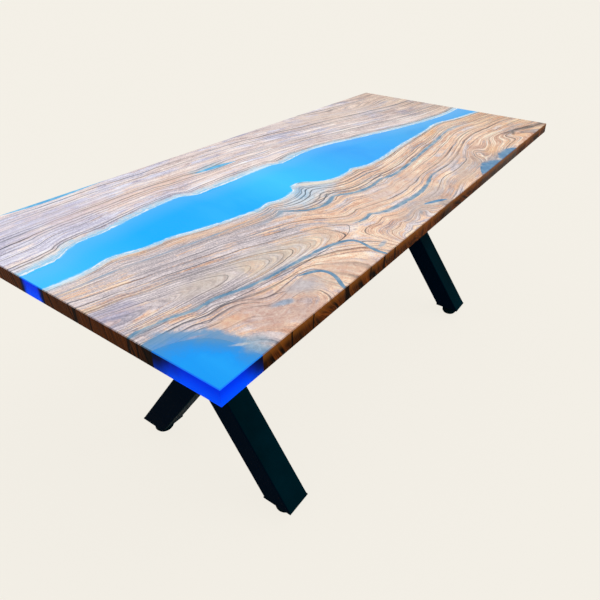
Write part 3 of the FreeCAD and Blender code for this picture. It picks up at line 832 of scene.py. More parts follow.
BACK_PATCHES = (
    ((-0.480, 0.270), -0.05, 0.380, 0.060, 0.60, "F4CDB4"),
    ((-0.780, 0.320), 0.0, 0.240, 0.110, 0.45, "C8C4DE"),
    ((-0.250, 0.265), -0.05, 0.085, 0.030, 0.70, "9CC8E0"),
    ((0.520, 0.300), -0.2, 0.360, 0.120, 0.40, "EACDB2"),
)
# Patches that lie on the wood and on the resin round the missing corner
CORNER_VEILS = (
    ((-0.786, -0.394), 1.30, 0.040, 0.028, 0.72, "96ADC0"),
    ((-0.806, -0.373), -0.75, 0.018, 0.004, 0.60, "CCCAC6"),
    ((-0.834, -0.299), -0.55, 0.020, 0.004, 0.50, "ACA6B8"),
)
# Colours round the missing corner, by half the distance from it
POCKET_SHADES = ((0.34, "1E98F4"), (0.45, "3C92DA"), (0.54, "5A94C4"), (0.68, "86A4BC"))
PATCH_RAGGEDNESS = 2.2
MOTTLE_SHARE = 0.4
POCKET_WANDER = 0.65


def add_patches(place, colour, patches):
    """A colour with tinted patches on it, each with a ragged edge, and all of them mottled."""
    ragged = less(noise(place, 19.0, 5.0, 0.65), 0.5)
    mottle = add_node("ShaderNodeTexNoise", Vector=place, Scale=75.0, Detail=5.0, Roughness=0.8,
                      Distortion=0.9).outputs["Fac"]
    most = 0.0
    for *ellipse, strength, text in patches:
        far = maths("MULTIPLY_ADD", ragged, PATCH_RAGGEDNESS, eye(place, *ellipse))
        share = ease(far, 0.2, 1.15, strength, 0.0)
        most = larger(most, share)
        colour = tint(share, colour, text)
    return blend(times(most, MOTTLE_SHARE), colour, ease(mottle, 0.25, 0.75), "OVERLAY")


def add_veils(place, colour):
    """A colour with the patches of the front slab that lie over its lines."""
    return add_patches(place, colour, FRONT_VEILS)


def add_corner_veils(place, colour):
    """A colour with the patches round the missing corner."""
    return add_patches(place, colour, CORNER_VEILS)


def pocket_distance(place):
    """How far a point is from the missing corner, with a cloudy wander; the pocket ends at about 1."""
    return swung(noise(place, 13.0, 6.0, 0.7), POCKET_WANDER, eye(place, *POCKET_EYE))


def pocket_colour(far):
    """The blue at a distance from the missing corner."""
    return shades(times(far, 0.5), POCKET_SHADES)


def add_pocket_haze(place, colour):
    """A colour with the blue that shows through thin wood round the missing corner."""
    far = pocket_distance(place)
    return blend(ease(far, 1.14, 1.30, 0.92, 0.0), colour, pocket_colour(far))


print("patches:", len(FRONT_PATCHES), "on the front slab,", len(BACK_PATCHES), "on the back slab")

# %% [markdown]
# The slab finish puts it together: figured wood on the polished top, kept pale and tinted lilac partly as a
# painted sheen of the bright sky, and a darker oiled tone on the sawn sides, partly painted shade, with the
# same rings running down them, and a brown underside. Where a crack comes out at the front side or the near
# end, it runs down the side as a black slit. A satin lacquer gives the top a soft gloss, and the fibres and
# the ring lines are felt as a very fine relief.

# %% Finish of the two slabs
FRONT_BAND_WIDTH = 0.015
BACK_BAND_WIDTH = 0.030
# What is painted on the wood, each through its own mask: the mask's name, its share and its colour
LINE_PAINTS = (
    ("Pores", 0.42, "98827C"), ("Gleam", 0.25, "FFF4EC"), ("Hair", 0.5, "6A6878"), ("Line", 1.0, "2E3A4A"),
)
BAND_PAINTS = (("Band", 0.88, "CCE8F8"), ("Film", 0.7, "8CD0F8"))
RIM_PAINTS = (("Rim", 0.85, "F4FBFF"),)
# The gap past the splintered bank at which the river's blue is full, and at which it starts
SPLINTER_EDGE = (-0.0025, -0.0005)
# Cracks that run down the front side and the near end: the place of each along its side, and its half width
FRONT_SLITS = (
    (-0.729, 0.003), (-0.667, 0.0025), (-0.556, 0.010), (-0.466, 0.003), (-0.408, 0.006), (-0.361, 0.004),
)
NEAR_SLITS = ((-0.059, 0.007), (-0.105, 0.003), (-0.209, 0.005), (-0.232, 0.003))
SLIT_WANDER = 0.006
# Where other cracks start along the top, and where the dark beside the corner pocket ends across it
CHECKS_FROM = (-0.4, -0.3)
POCKET_SIDE = (-0.265, -0.205)
# Browns of the sawn sides, kept dark partly as painted shade and partly as oiled end grain
SIDE_BROWNS = ((0.1, "0D0603"), (0.35, "281305"), (0.55, "4E2507"), (0.8, "844414"))
# A painted golden highlight near the top of the long sides, and how far down it reaches
GILT_HIGHLIGHT = "985A1E"
GILT_HIGHLIGHT_DEPTH = 0.022
BESIDE_POCKET = "0A0705"
SLIT_BLACK = "0A0503"
UNDERSIDE_BROWN = "A98468"
FAR_END_TONE = "EAD8C2"
# The gloss of the sides and of the top, and the roughness between fibres and on them
SLAB_GLOSS = (0.006, 0.14)
SLAB_ROUGHNESS = (0.42, 0.28)
GRAIN_RELIEF = 0.00025
LINE_RELIEF = -0.5
# Cool and warm wood of the front slab and of the back slab, from dark to pale; their paleness and the lilac
# of the cool shades are partly a painted sheen of the bright sky
LILAC_GREY = ((0.15, "9A9198"), (0.40, "C8BDC2"), (0.60, "E6D9DB"), (0.85, "FFF4F2"))
PEACH = ((0.15, "BE8A70"), (0.40, "E6B89D"), (0.60, "FCD6B8"), (0.85, "FFF4DD"))
PALE_LILAC = ((0.15, "9A94AE"), (0.40, "CBC8DE"), (0.60, "E8E6F8"), (0.85, "FCFCFF"))
PALE_PINK = ((0.15, "B29B9B"), (0.40, "DECAC7"), (0.60, "F8E4DF"), (0.85, "FFF9F4"))


def wood_ground(figure, along, cool_shades, warm_shades):
    """Colour of the wood between its lines: streaks of cool and warm, warmer away from the near end; the cool
    is partly a painted sky sheen.
    """
    lean = maths("ADD", figure["Warmth"], ease(along, 0.05, 0.5, -0.10, 0.12))
    cool = shades(figure["Tone"], cool_shades)
    warm = shades(figure["Tone"], warm_shades)
    colour = blend(ease(lean, 0.39, 0.61), cool, warm)
    return blend(ease(along, 0.78, 1.0, 0.0, 0.9), colour, paint(FAR_END_TONE), "MULTIPLY")


def painted(masks, colour, paints):
    """A colour with paints over it, each through the mask of its name."""
    for name, share, text in paints:
        colour = tint(times(masks[name], share), colour, text)
    return colour


def side_slits(place, facing):
    """A mask of the cracks down the front side and the near end, and of a few more further along."""
    x, y, z = parts_of(place)
    column = point_at(maths("ADD", x, y), 0.0, times(z, 0.3))
    checks = ease(noise(column, 13.0, 3.0, 0.7), 0.64, 0.68, 0.0, 0.9)
    dark = times(checks, ease(x, *CHECKS_FROM))
    wander = noise(place, 60.0, 3.0)
    for number, slits, toward in ((x, FRONT_SLITS, facing[1]), (y, NEAR_SLITS, facing[0])):
        along = swung(wander, SLIT_WANDER, number)
        crossed = 0.0
        for at, half in slits:
            crossed = larger(crossed, ease(apart(along, at), half * 0.5, half, 0.92, 0.0))
        dark = larger(dark, times(crossed, ease(toward, -0.3, -0.9)))
    return dark


def sawn_side(place, grain):
    """Colour of a sawn side: oiled brown kept dark partly as painted shade, a painted golden highlight near
    the top of the long sides, and black slits.
    """
    _, y, z = parts_of(place)
    facing = facing_of()
    to_side = ease(maths("ABSOLUTE", facing[1]), 0.3, 0.9)
    # Painted highlight: golden near the top of the front and back sides
    gilt_highlight = times(to_side, ease(z, TOP_HEIGHT - GILT_HIGHLIGHT_DEPTH, TOP_HEIGHT, 0.0, 0.5))
    colour = tint(gilt_highlight, shades(grain, SIDE_BROWNS), GILT_HIGHLIGHT)
    by_pocket = times(ease(facing[0], -0.3, -0.9), ease(y, *POCKET_SIDE, 0.92, 0.0))
    colour = tint(by_pocket, colour, BESIDE_POCKET)
    return tint(side_slits(place, facing), colour, SLIT_BLACK)


def make_slab_finish(name, ring_builder, gap_name, band_width, cool_shades, warm_shades, patches, films):
    """Lacquered wood whose rings come from a builder, with its patches and the films of resin on it."""
    finish, shader, place = new_finish(name)
    banks = use_group(river_banks, Place=place)
    faces = use_group(cut_faces)
    figure = use_group(slab_figure, Ring=ring_builder(place), Place=place)
    wood = wood_ground(figure, banks["Along"], cool_shades, warm_shades)
    gap = splintered(place, banks[gap_name])
    band = use_group(pale_band, Gap=gap, Place=place, Width=band_width)
    top = painted(band, add_patches(place, wood, patches), BAND_PAINTS)
    top = painted(figure, top, LINE_PAINTS)
    for add_film in films:
        top = add_film(place, top)
    top = painted(band, top, RIM_PAINTS)
    blue = river_blue(river_swirl(place), banks["Along"])
    top = blend(ease(gap, *SPLINTER_EDGE, 1.0, 0.0), top, blue)
    grain = maths("MULTIPLY_ADD", figure["Line"], LINE_RELIEF, figure["Fibre"])
    under = painted(figure, wood, LINE_PAINTS)
    under = blend(1.0, under, paint(UNDERSIDE_BROWN), "MULTIPLY")
    colour = cut_colour(faces, sawn_side(place, grain), top)
    wire(shader.inputs, Base_Color=blend(faces["Underside"], colour, under),
         Specular_IOR_Level=ease(faces["Top"], 0.0, 1.0, *SLAB_GLOSS),
         Roughness=ease(figure["Fibre"], 0.2, 0.8, *SLAB_ROUGHNESS))
    raise_surface(shader, grain, GRAIN_RELIEF)
    return finish


front_finish = make_slab_finish(
    "front_slab_wood", front_rings, "Front Gap", FRONT_BAND_WIDTH, LILAC_GREY, PEACH, FRONT_PATCHES,
    (add_folds, add_veils, add_corner_lines, add_loops, add_crack_film, add_pocket_haze, add_corner_veils))
back_finish = make_slab_finish(
    "back_slab_wood", back_rings, "Back Gap", BACK_BAND_WIDTH, PALE_LILAC, PALE_PINK, BACK_PATCHES, ())
print("slab finishes:", front_finish.name, len(front_finish.node_tree.nodes), "nodes,",
      back_finish.name, len(back_finish.node_tree.nodes), "nodes")

# %% [markdown]
# The resin is dyed azure. From above it is a bright blue with slow swirls, paler and deeper by turns along
# the river, milky towards the back bank and pale where it thins out over the wood. Its cut sides have a
# painted glow, emitted in a deep royal blue that is paler towards the foot, and painted navy shade where dark
# wood stands close behind them.

# %% Finish of the river and of the corner pocket
UNDERSIDE_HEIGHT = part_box("river_resin")[0].z
# Strength of the painted glow of the cut sides, an emission although the resin is no lamp
PAINTED_SIDE_GLOW = 0.5
MILKY_REACH = 0.08
MILKY_BLUE = "76BEFF"
# Painted light on the cut sides: a glow paler at the foot and deeper at the top, and painted navy shade near
# dark wood
SIDE_GLOW_BLUES = ("0043E4", "0029CB")
SIDE_NAVY_SHADE = "040A24"
# The underside's blues, and the painted navy shade on it near dark wood
UNDERSIDE_BLUES = ((0.35, "0A55B8"), (0.65, "1B74D6"))
UNDERSIDE_NAVY_SHADE = "06122C"
# A painted highlight on the chamfer of the resin
CHAMFER_HIGHLIGHT_BLUE = "1E7CE6"
CORNER_BLUES = ((0.36, "1A9CF6"), (0.64, "2CB2FF"))
# The paler blue over the foot of a bank, how far it reaches, and the white past the bank
FOOT_BLUE = "A4DAF8"
FOOT_REACH = 0.012
PAST_BANK_WHITE = "DCEFFA"
RESIN_ROUGHNESS = 0.14
RESIN_GLOSS = (0.004, 0.035)
RESIN_RELIEF = 0.0003


def make_resin_finish(name, add_top, shade_builder):
    """Glossy dyed resin; one builder gives its colour from above, the other the painted shade where dark wood
    is behind it; the cut sides have a painted glow.
    """
    finish, shader, place = new_finish(name, Roughness=RESIN_ROUGHNESS, Emission_Strength=PAINTED_SIDE_GLOW)
    faces = use_group(cut_faces)
    swirl = river_swirl(place)
    height = parts_of(place)[2]
    # Painted shade where dark wood stands behind the resin
    dark = shade_builder(place)
    low, high = [paint(text) for text in SIDE_GLOW_BLUES]
    side = blend(ease(height, UNDERSIDE_HEIGHT, TOP_HEIGHT), low, high)
    side = tint(dark, side, SIDE_NAVY_SHADE)
    under = shades(swirl, UNDERSIDE_BLUES)
    colour = blend(faces["Top"], side, add_top(place, swirl))
    colour = tint(faces["Chamfer"], colour, CHAMFER_HIGHLIGHT_BLUE)
    colour = blend(faces["Underside"], colour, tint(dark, under, UNDERSIDE_NAVY_SHADE))
    upright = less(1.0, maths("ADD", faces["Top"], faces["Underside"]))
    # The upright sides get a painted glow, emitted in their own blue
    wire(shader.inputs, Base_Color=colour,
         Emission_Color=blend(upright, (0.0, 0.0, 0.0, 1.0), side),
         Specular_IOR_Level=ease(faces["Top"], 0.0, 1.0, *RESIN_GLOSS))
    raise_surface(shader, noise(place, 14.0, 2.0), RESIN_RELIEF)
    return finish


def inside_banks(place):
    """How far a point of the river is inside the nearer bank, below zero past it, and its banks."""
    banks = use_group(river_banks, Place=place)
    nearer = larger(banks["Front Gap"], banks["Back Gap"])
    return times(splintered(place, nearer), -1.0), banks


def river_top(place, swirl):
    """The river's blue, milky towards the back bank, paler over the foot of both and white past them."""
    inside, banks = inside_banks(place)
    reach = times(noise(place, 45.0, 4.0, 0.6), FOOT_REACH)
    colour = river_blue(swirl, banks["Along"])
    colour = tint(ease(banks["Back Gap"], -MILKY_REACH, 0.0, 0.0, 0.3), colour, MILKY_BLUE)
    colour = tint(ease(inside, 0.0, reach, 0.5, 0.0), colour, FOOT_BLUE)
    return tint(ease(inside, -0.0015, 0.0, 0.9, 0.0), colour, PAST_BANK_WHITE)


def corner_top(place, swirl):
    """Azure in the corner, cloudier and greyer towards the wood."""
    bright = shades(swirl, CORNER_BLUES)
    far = pocket_distance(place)
    colour = blend(ease(far, 0.5, 0.8), bright, pocket_colour(far))
    return add_corner_veils(place, colour)


def shade_near_corner_wood(place):
    """Painted shade: dark towards the wood behind the corner pocket, less so lower down."""
    far = swung(noise(place, 30.0, 2.0), 0.25, eye(place, *POCKET_EYE))
    below = less(TOP_HEIGHT, parts_of(place)[2])
    return ease(maths("MULTIPLY_ADD", below, -8.0, far), 0.28, 0.92)


def shade_near_banks(place):
    """Painted shade: dark towards the two banks of the river."""
    return ease(inside_banks(place)[0], 0.004, 0.022, 1.0, 0.0)


river_finish = make_resin_finish("river_resin_blue", river_top, shade_near_banks)
corner_finish = make_resin_finish("corner_resin_blue", corner_top, shade_near_corner_wood)
print("resin finishes:", river_finish.name, corner_finish.name)

# %% [markdown]
# The cracks and the small pockets at the edges are filled with the same resin, but only in a thin layer
# with ragged wood at its edges. The blue core of a crack comes from the distance to its line, and that of a
# pocket from one or two ellipses.

# %% Finish of the thin fills
# Clear resin in the middle pocket and in the far pocket, as ellipses like the missing corner
MIDDLE_STRIP = ((-0.073, -0.386), -0.45, 0.060, 0.009)
FAR_LOBES = (((0.280, -0.425), 0.0, 0.088, 0.045), ((0.445, -0.425), 0.0, 0.085, 0.038))
# Where the long crack turns down to the front edge, and its fade
LONG_CRACK_TURN = (LONG_CRACK_END - 0.020, LONG_CRACK_END + 0.020)
TURN_FADE = 0.006
EDGE_SHADES = ((0.35, "9A8C8C"), (0.5, "C4B2A8"), (0.65, "E2CFC2"))
CRACK_SHADES = ((0.32, "527EA0"), (0.5, "7296B2"), (0.66, "9CB0BE"))
POCKET_FILL_SHADES = ((0.3, "2C6A9A"), (0.5, "4883B0"), (0.72, "78A2C0"))
SLIVER_SHADES = ((0.3, "2F9AD8"), (0.5, "58B4E4"), (0.72, "9CD2EE"))
FILL_ROUGHNESS = 0.18
FILL_GLOSS = (0.01, 0.12)
FILL_RELIEF = 0.0002


def crack_core(place):
    """A mask of the clear resin in the middle of the cracks, which narrows and widens along them."""
    banks = use_group(river_banks, Place=place)
    gap = 1.0
    for line, cusps, _, _, _ in CRACK_LINES:
        gap = maths("MINIMUM", gap, off_line(banks, line, cusps))
    reach = ease(noise(place, 26.0, 5.0, 0.7), 0.3, 0.7, 0.002, 0.011)
    turn = within_run(banks["Along"], *LONG_CRACK_TURN, TURN_FADE)
    return larger(within(gap, reach, 0.7), turn)


def strip_core(place):
    """A mask of the narrow strip of clear resin in the middle pocket."""
    return ease(eye(place, *MIDDLE_STRIP), 0.7, 1.1, 1.0, 0.0)


def lobes_core(place):
    """A mask of the two lobes of clear resin in the far pocket, with a cloudy edge."""
    nearer = maths("MINIMUM", *[eye(place, *lobe) for lobe in FAR_LOBES])
    far = swung(noise(place, 20.0, 4.0, 0.65), 1.2, nearer)
    return ease(far, 0.75, 1.15, 1.0, 0.0)


def whole_core(place):
    """A mask of clear resin all over."""
    return 1.0


def make_thin_fill_finish(name, stops, core_builder=whole_core):
    """Dyed resin with ragged wood showing at its edges, and cut sides that the wood behind them stains."""
    finish, shader, place = new_finish(name, Roughness=FILL_ROUGHNESS)
    faces = use_group(cut_faces)
    mottle = noise(place, 34.0, 4.0, 0.65)
    edge = shades(mottle, EDGE_SHADES)
    top = blend(core_builder(place), edge, shades(mottle, stops))
    side = sawn_side(place, less(mottle, 0.1))
    wire(shader.inputs, Base_Color=cut_colour(faces, side, top),
         Specular_IOR_Level=ease(faces["Top"], 0.0, 1.0, *FILL_GLOSS))
    raise_surface(shader, mottle, FILL_RELIEF)
    return finish


crack_finish = make_thin_fill_finish("crack_fill_grey", CRACK_SHADES, crack_core)
bay_finish = make_thin_fill_finish("bay_fill_grey", CRACK_SHADES)
pocket_finish = make_thin_fill_finish("pocket_fill_blue", POCKET_FILL_SHADES, lobes_core)
strip_finish = make_thin_fill_finish("strip_fill_blue", POCKET_FILL_SHADES, strip_core)
sliver_finish = make_thin_fill_finish("sliver_fill_blue", SLIVER_SHADES)
thin_fills = (crack_finish, bay_finish, pocket_finish, strip_finish, sliver_finish)
print("thin fills:", [fill.name for fill in thin_fills])

# %% [markdown]
# The steel of the frames is powder coated in satin black. Powder coat is never quite flat: it has the
# fine texture of orange peel, and corners that get knocked wear to a paler line. A Bevel node finds the
# corners, because its softened normal differs from the true one there.

# %% Corner wear and fine texture as node groups
# How well the softened normal agrees with the true one where wear starts, and where it is full
AGREEMENT = (0.985, 0.85)


def make_wear_group():
    """A mask of worn corners."""
    tree, start, end = new_group("corner_wear", {"Place": "Vector", "Radius": "Float"}, {"Wear": "Float"})
    soft = add_node("ShaderNodeBevel", {"samples": 6}, Radius=start["Radius"]).outputs[0]
    true = add_node("ShaderNodeNewGeometry").outputs["Normal"]
    dot = add_node("ShaderNodeVectorMath", {"operation": "DOT_PRODUCT"})
    feed(dot.inputs[0], soft)
    feed(dot.inputs[1], true)
    corner = ease(dot.outputs["Value"], *AGREEMENT)
    patchy = ease(noise(start["Place"], 60.0, 4.0, 0.7), 0.42, 0.68)
    wire(end, Wear=times(corner, patchy))
    return tree


def make_peel_group():
    """Height of a sprayed coat and its slow change of gloss."""
    tree, start, end = new_group(
        "sprayed_coat", {"Place": "Vector", "Grain": "Float"}, {"Height": "Float", "Gloss": "Float"})
    wire(end, Height=noise(start["Place"], start["Grain"], 2.0), Gloss=noise(start["Place"], 9.0, 3.0))
    return tree


corner_wear = make_wear_group()
sprayed_coat = make_peel_group()
print("groups:", corner_wear.name, sprayed_coat.name)

# %% [markdown]
# All the pieces below the top use those two groups in one kind of finish, each with its own colours, gloss
# and grain: powder coat, black oxide, zinc, brass, the black of the glide pads, and rubber. The frames' coat
# has a painted shade: a deeper colour on the faces towards the near end, which get less light.

# %% Finish of the frames, the fasteners and the feet
WEAR_RADIUS = 0.0015
WEAR_SHARE = 0.6
GLOSS_SWING = 0.06


def make_coated_finish(name, dark, pale, worn, roughness, grain, depth, metallic=0.0, gloss_level=0.006,
                       painted_shade_near_end=None):
    """A coat with orange peel, slow shade and paler worn corners, and maybe painted shade towards the near
    end.
    """
    finish, shader, place = new_finish(name, Metallic=metallic, Specular_IOR_Level=gloss_level)
    coat = use_group(sprayed_coat, Place=place, Grain=grain)
    wear = use_group(corner_wear, Place=place, Radius=WEAR_RADIUS)
    ground = shades(coat["Gloss"], ((0.3, dark), (0.7, pale)))
    if painted_shade_near_end:
        # Painted shade: a deeper colour on the faces towards the near end
        ground = tint(ease(facing_of()[0], -0.4, -0.9), ground, painted_shade_near_end)
    gloss = ease(coat["Gloss"], 0.3, 0.7, roughness - GLOSS_SWING, roughness + GLOSS_SWING)
    wire(shader.inputs, Base_Color=tint(times(wear["Wear"], WEAR_SHARE), ground, worn), Roughness=gloss)
    raise_surface(shader, coat["Height"], depth)
    return finish


# Each coat: its dark, pale and worn colours, its roughness, its lumps to the metre, their depth, and how
# metallic it is
black_coat = make_coated_finish(
    "satin_black_coat", "00141B", "001E27", "2A3C40", 0.42, 900.0, 0.00008, gloss_level=0.003,
    painted_shade_near_end="000A17")
black_bolt = make_coated_finish("black_oxide_steel", "14161A", "23262B", "6A6E74", 0.38, 1500.0, 0.00004, 0.8)
bright_zinc = make_coated_finish("zinc_plate", "8C9096", "B4B8BC", "D5D8DA", 0.34, 1200.0, 0.00004, 1.0)
dull_brass = make_coated_finish("turned_brass", "9A7A34", "B8934A", "D9BC78", 0.32, 1200.0, 0.00004, 1.0)
foot_moulding = make_coated_finish("black_foot_moulding", "000C12", "00141A", "1A2022", 0.5, 1400.0, 0.00006)
foot_rubber = make_coated_finish("foot_rubber", "0B0B0C", "161617", "202021", 0.8, 700.0, 0.0001)
coats = (black_coat, black_bolt, bright_zinc, dull_brass, foot_moulding, foot_rubber)
print("coats:", [coat.name for coat in coats])

# %% [markdown]
# The CAD solids keep their shape and only change finish. Each node's name says what it is, so one short
# table of name endings gives every node its finish. The first ending that fits is used.

# %% Finishes for the CAD nodes
FINISH_BY_ENDING = (
    ("front_slab", front_finish), ("back_slab", back_finish), ("river_resin", river_finish),
    ("corner_pocket_resin", corner_finish), ("back_pocket_resin", sliver_finish),
    ("middle_pocket_resin", strip_finish), ("pocket_resin", pocket_finish), ("sliver_resin", sliver_finish),
    ("bay_crack_resin", bay_finish), ("crack_resin", crack_finish), ("_leg", black_coat),
    ("_mount_plate", black_coat), ("_foot_plate", black_coat), ("_bolts", black_bolt),
    ("_washers", bright_zinc), ("_inserts", dull_brass), ("_foot_bush", bright_zinc),
    ("_foot_stud", bright_zinc), ("_foot_pad", foot_moulding), ("_foot_sole", foot_rubber),
)


def finish_for(name):
    """The first finish whose ending fits a node's name."""
    return next(finish for ending, finish in FINISH_BY_ENDING if name.endswith(ending))


for name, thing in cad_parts.items():
    thing.data.materials.clear()
    thing.data.materials.append(finish_for(name))
print("dressed", len(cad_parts), "nodes")

# %% [markdown]
# Some detail is too small for the CAD solids, and most of it repeats, so Geometry Nodes lays it out along
# a guide mesh. Each layout is a node group with named inputs. The helper runs a layout on a guide, keeps
# the result as a plain mesh, and throws the guide away.

# %% Helpers for pieces laid out by Geometry Nodes
def new_layout(name, inputs):
    """An empty layout, which takes a guide and gives finished geometry."""
    return new_group(name, {"Guide": "Geometry", **inputs, "Finish": "Material"}, {"Piece": "Geometry"},
                     "GeometryNodeTree")


def end_layout(start, end, made):
    """Close a layout: real geometry in its finish."""
    real = add_node("GeometryNodeRealizeInstances", Geometry=made).outputs[0]
    dressed = add_node("GeometryNodeSetMaterial", Geometry=real, Material=start["Finish"])
    wire(end, Piece=dressed.outputs[0])
    return Bench.tree


def joined(parts):
    """Several geometries as one."""
    made = add_node("GeometryNodeJoinGeometry")
    for part in parts:
        feed(made.inputs[0], part)
    return made.outputs[0]


def moved_to(geometry, z):
    """A geometry lifted to a height."""
    return add_node("GeometryNodeTransform", Geometry=geometry, Translation=point_at(0.0, 0.0, z))


def add_piece(name, mesh, body, replaced=None):
    """A piece that rides on a body and takes the finish of a slot; it may stand for a CAD node."""
    piece = bpy.data.objects.new(name, mesh)
    scene.collection.objects.link(piece)
    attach(piece, body)
    if replaced:
        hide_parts(replaced)
    return piece


def run_layout(layout, guide_mesh, **values):
    """The plain mesh that a layout makes of a guide."""
    guide = bpy.data.objects.new("guide", guide_mesh)
    scene.collection.objects.link(guide)
    modifier = guide.modifiers.new("layout", "NODES")
    modifier.node_group = layout
    for item in layout.interface.items_tree:
        if item.in_out == "INPUT" and item.name in values:
            modifier[item.identifier] = values[item.name]
    made = bpy.data.meshes.new_from_object(guide.evaluated_get(bpy.context.evaluated_depsgraph_get()))
    bpy.data.objects.remove(guide)
    return made


FRAMES = ("near", "far")
LEGS = [f"{end}_{side}" for end in FRAMES for side in ("front", "back")]
print("feet:", LEGS)

# %% [markdown]
# The tubes are welded to each other and to the mounting plates. A weld bead is a row of drops that overlap
# along the seam, each a little different. The seams are worked out from the boxes of the leg and its foot.

# %% Weld beads on the two frames
BEAD_PITCH = 0.0042
BEAD_RADIUS = 0.0036
SEAM_CORNER = 0.003
# The least and the most of a drop's size, along the seam and across it
LEAST_DROP = (0.8, 0.85, 0.85)
MOST_DROP = (1.1, 1.15, 1.15)


def make_weld_layout():
    """Squashed drops, each of its own size, along every edge of a guide."""
    _, start, end = new_layout("weld_bead", {"Pitch": "Float", "Radius": "Float", "Seed": "Int"})
    seam = add_node("GeometryNodeMeshToCurve", Mesh=start["Guide"]).outputs[0]
    row = add_node("GeometryNodeResampleCurve", {"mode": "LENGTH"}, Curve=seam, Length=start["Pitch"])
    drop = add_node("GeometryNodeMeshIcoSphere", Radius=start["Radius"], Subdivisions=3)
    tangent = add_node("GeometryNodeInputTangent").outputs[0]
    heading = add_node("FunctionNodeAlignRotationToVector", {"axis": "X"}, Vector=tangent)
    sizes = add_node("FunctionNodeRandomValue", {"data_type": "FLOAT_VECTOR"},
                     Min=LEAST_DROP, Max=MOST_DROP, Seed=start["Seed"])
    drops = add_node("GeometryNodeInstanceOnPoints", Points=row.outputs[0], Instance=drop.outputs[0],
                     Rotation=heading.outputs[0], Scale=sizes.outputs[0])
    smooth = add_node("GeometryNodeSetShadeSmooth", Geometry=drops.outputs[0])
    return end_layout(start, end, smooth.outputs[0])


def seam_loop(low_x, high_x, first, second):
    """A seam round a tube with rounded corners, in the plane through two points of height and depth."""
    first, second = Vector((0, *first)), Vector((0, *second))
    turn = (second - first).normalized() * SEAM_CORNER
    step = Vector((SEAM_CORNER, 0, 0))
    near, far = Vector((low_x, 0, 0)), Vector((high_x, 0, 0))
    return [near + first + turn, near + first + step, far + first - step, far + first + turn,
            far + second - turn, far + second - step, near + second + step, near + second - turn]


def seams_of(end):
    """The welded seams of one frame: the two leg tops, and each half leg on the through leg."""
    low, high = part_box(f"{end}_through_leg")
    foot_low, foot_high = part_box(f"{end}_front_foot_pad")
    foot = (foot_low.y + foot_high.y) / 2
    half_cut = foot - low.y
    side = high.x - low.x
    lean = math.acos(side / (2 * half_cut))
    rise = side / 2 / math.sin(lean)
    middle = (low.z + high.z) / 2
    spans = [((y - half_cut, high.z), (y + half_cut, high.z)) for y in (foot, -foot)]
    spans.append(((-half_cut, middle), (0, middle + rise)))
    spans.append(((0, middle - rise), (half_cut, middle)))
    return [seam_loop(low.x, high.x, first, second) for first, second in spans]


def loops_mesh(name, loops):
    """A mesh of closed loops of edges."""
    points, edges = [], []
    for loop in loops:
        start = len(points)
        points.extend(loop)
        edges.extend((start + at, start + (at + 1) % len(loop)) for at in range(len(loop)))
    mesh = bpy.data.meshes.new(name)
    mesh.from_pydata(points, edges, [])
    return mesh


weld_layout = make_weld_layout()
for number, end in enumerate(FRAMES):
    beads = run_layout(weld_layout, loops_mesh(f"{end}_seams", seams_of(end)), Pitch=BEAD_PITCH,
                       Radius=BEAD_RADIUS, Seed=number, Finish=black_coat)
    add_piece(f"{end}_weld_beads", beads, "table")
    print(end, "weld beads:", len(beads.polygons), "faces")

# %% [markdown]
# Eight hexagon bolts hold each mounting plate. They all have the same head, chamfered at its outer end and
# with a round shoulder against the washer, but each was tightened to its own angle. So the layout builds
# one bolt and puts it at every point of its guide with a turn of its own.

# %% Bolts under the mounting plates
HEXAGON = 6
ROUND = 32
SHANK_ROUND = 24
INSERT_RADIUS = 0.006
BOLT_RADIUS = 0.004
HEAD_RADIUS = 0.0075
HEAD_CHAMFER = 0.0011
SHOULDER = 0.0005
SHOULDER_RADIUS = HEAD_RADIUS * 0.84


def make_bolt_layout():
    """Hexagon bolts, head down, with the washer at each point of the guide."""
    _, start, end = new_layout("hexagon_bolts", {"Head": "Float", "Shank": "Float", "Seed": "Int"})
    flats = less(start["Head"], HEAD_CHAMFER + SHOULDER)
    # Each part of a bolt: its corners, lower radius, upper radius, height, and how far down its foot is
    parts = (
        (HEXAGON, HEAD_RADIUS - HEAD_CHAMFER, HEAD_RADIUS, HEAD_CHAMFER, start["Head"]),
        (HEXAGON, HEAD_RADIUS, HEAD_RADIUS, flats, maths("ADD", flats, SHOULDER)),
        (ROUND, SHOULDER_RADIUS, SHOULDER_RADIUS, SHOULDER, SHOULDER),
        (SHANK_ROUND, BOLT_RADIUS, BOLT_RADIUS, start["Shank"], 0.0),
    )
    made = []
    for corners, lower, upper, height, down in parts:
        part = add_node("GeometryNodeMeshCone", Vertices=corners, Radius_Bottom=lower, Radius_Top=upper,
                        Depth=height).outputs["Mesh"]
        made.append(moved_to(part, times(down, -1.0)).outputs[0])
    turn = add_node("FunctionNodeRandomValue", {"data_type": "FLOAT_VECTOR"},
                    Max=(0.0, 0.0, math.tau / HEXAGON), Seed=start["Seed"]).outputs[0]
    bolts = add_node("GeometryNodeInstanceOnPoints", Points=start["Guide"], Instance=joined(made),
                     Rotation=turn)
    return end_layout(start, end, bolts.outputs[0])


def bolt_points(end):
    """Where each bolt of a frame meets its washer."""
    low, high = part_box(f"{end}_frame_inserts")
    foot_low, foot_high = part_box(f"{end}_front_foot_pad")
    outer = high.y - INSERT_RADIUS
    inner = -(foot_low.y + foot_high.y) - outer
    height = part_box(f"{end}_frame_washers")[0].z
    return [Vector((x, side * row, height)) for x in (low.x + INSERT_RADIUS, high.x - INSERT_RADIUS)
            for side in (-1, 1) for row in (inner, outer)]


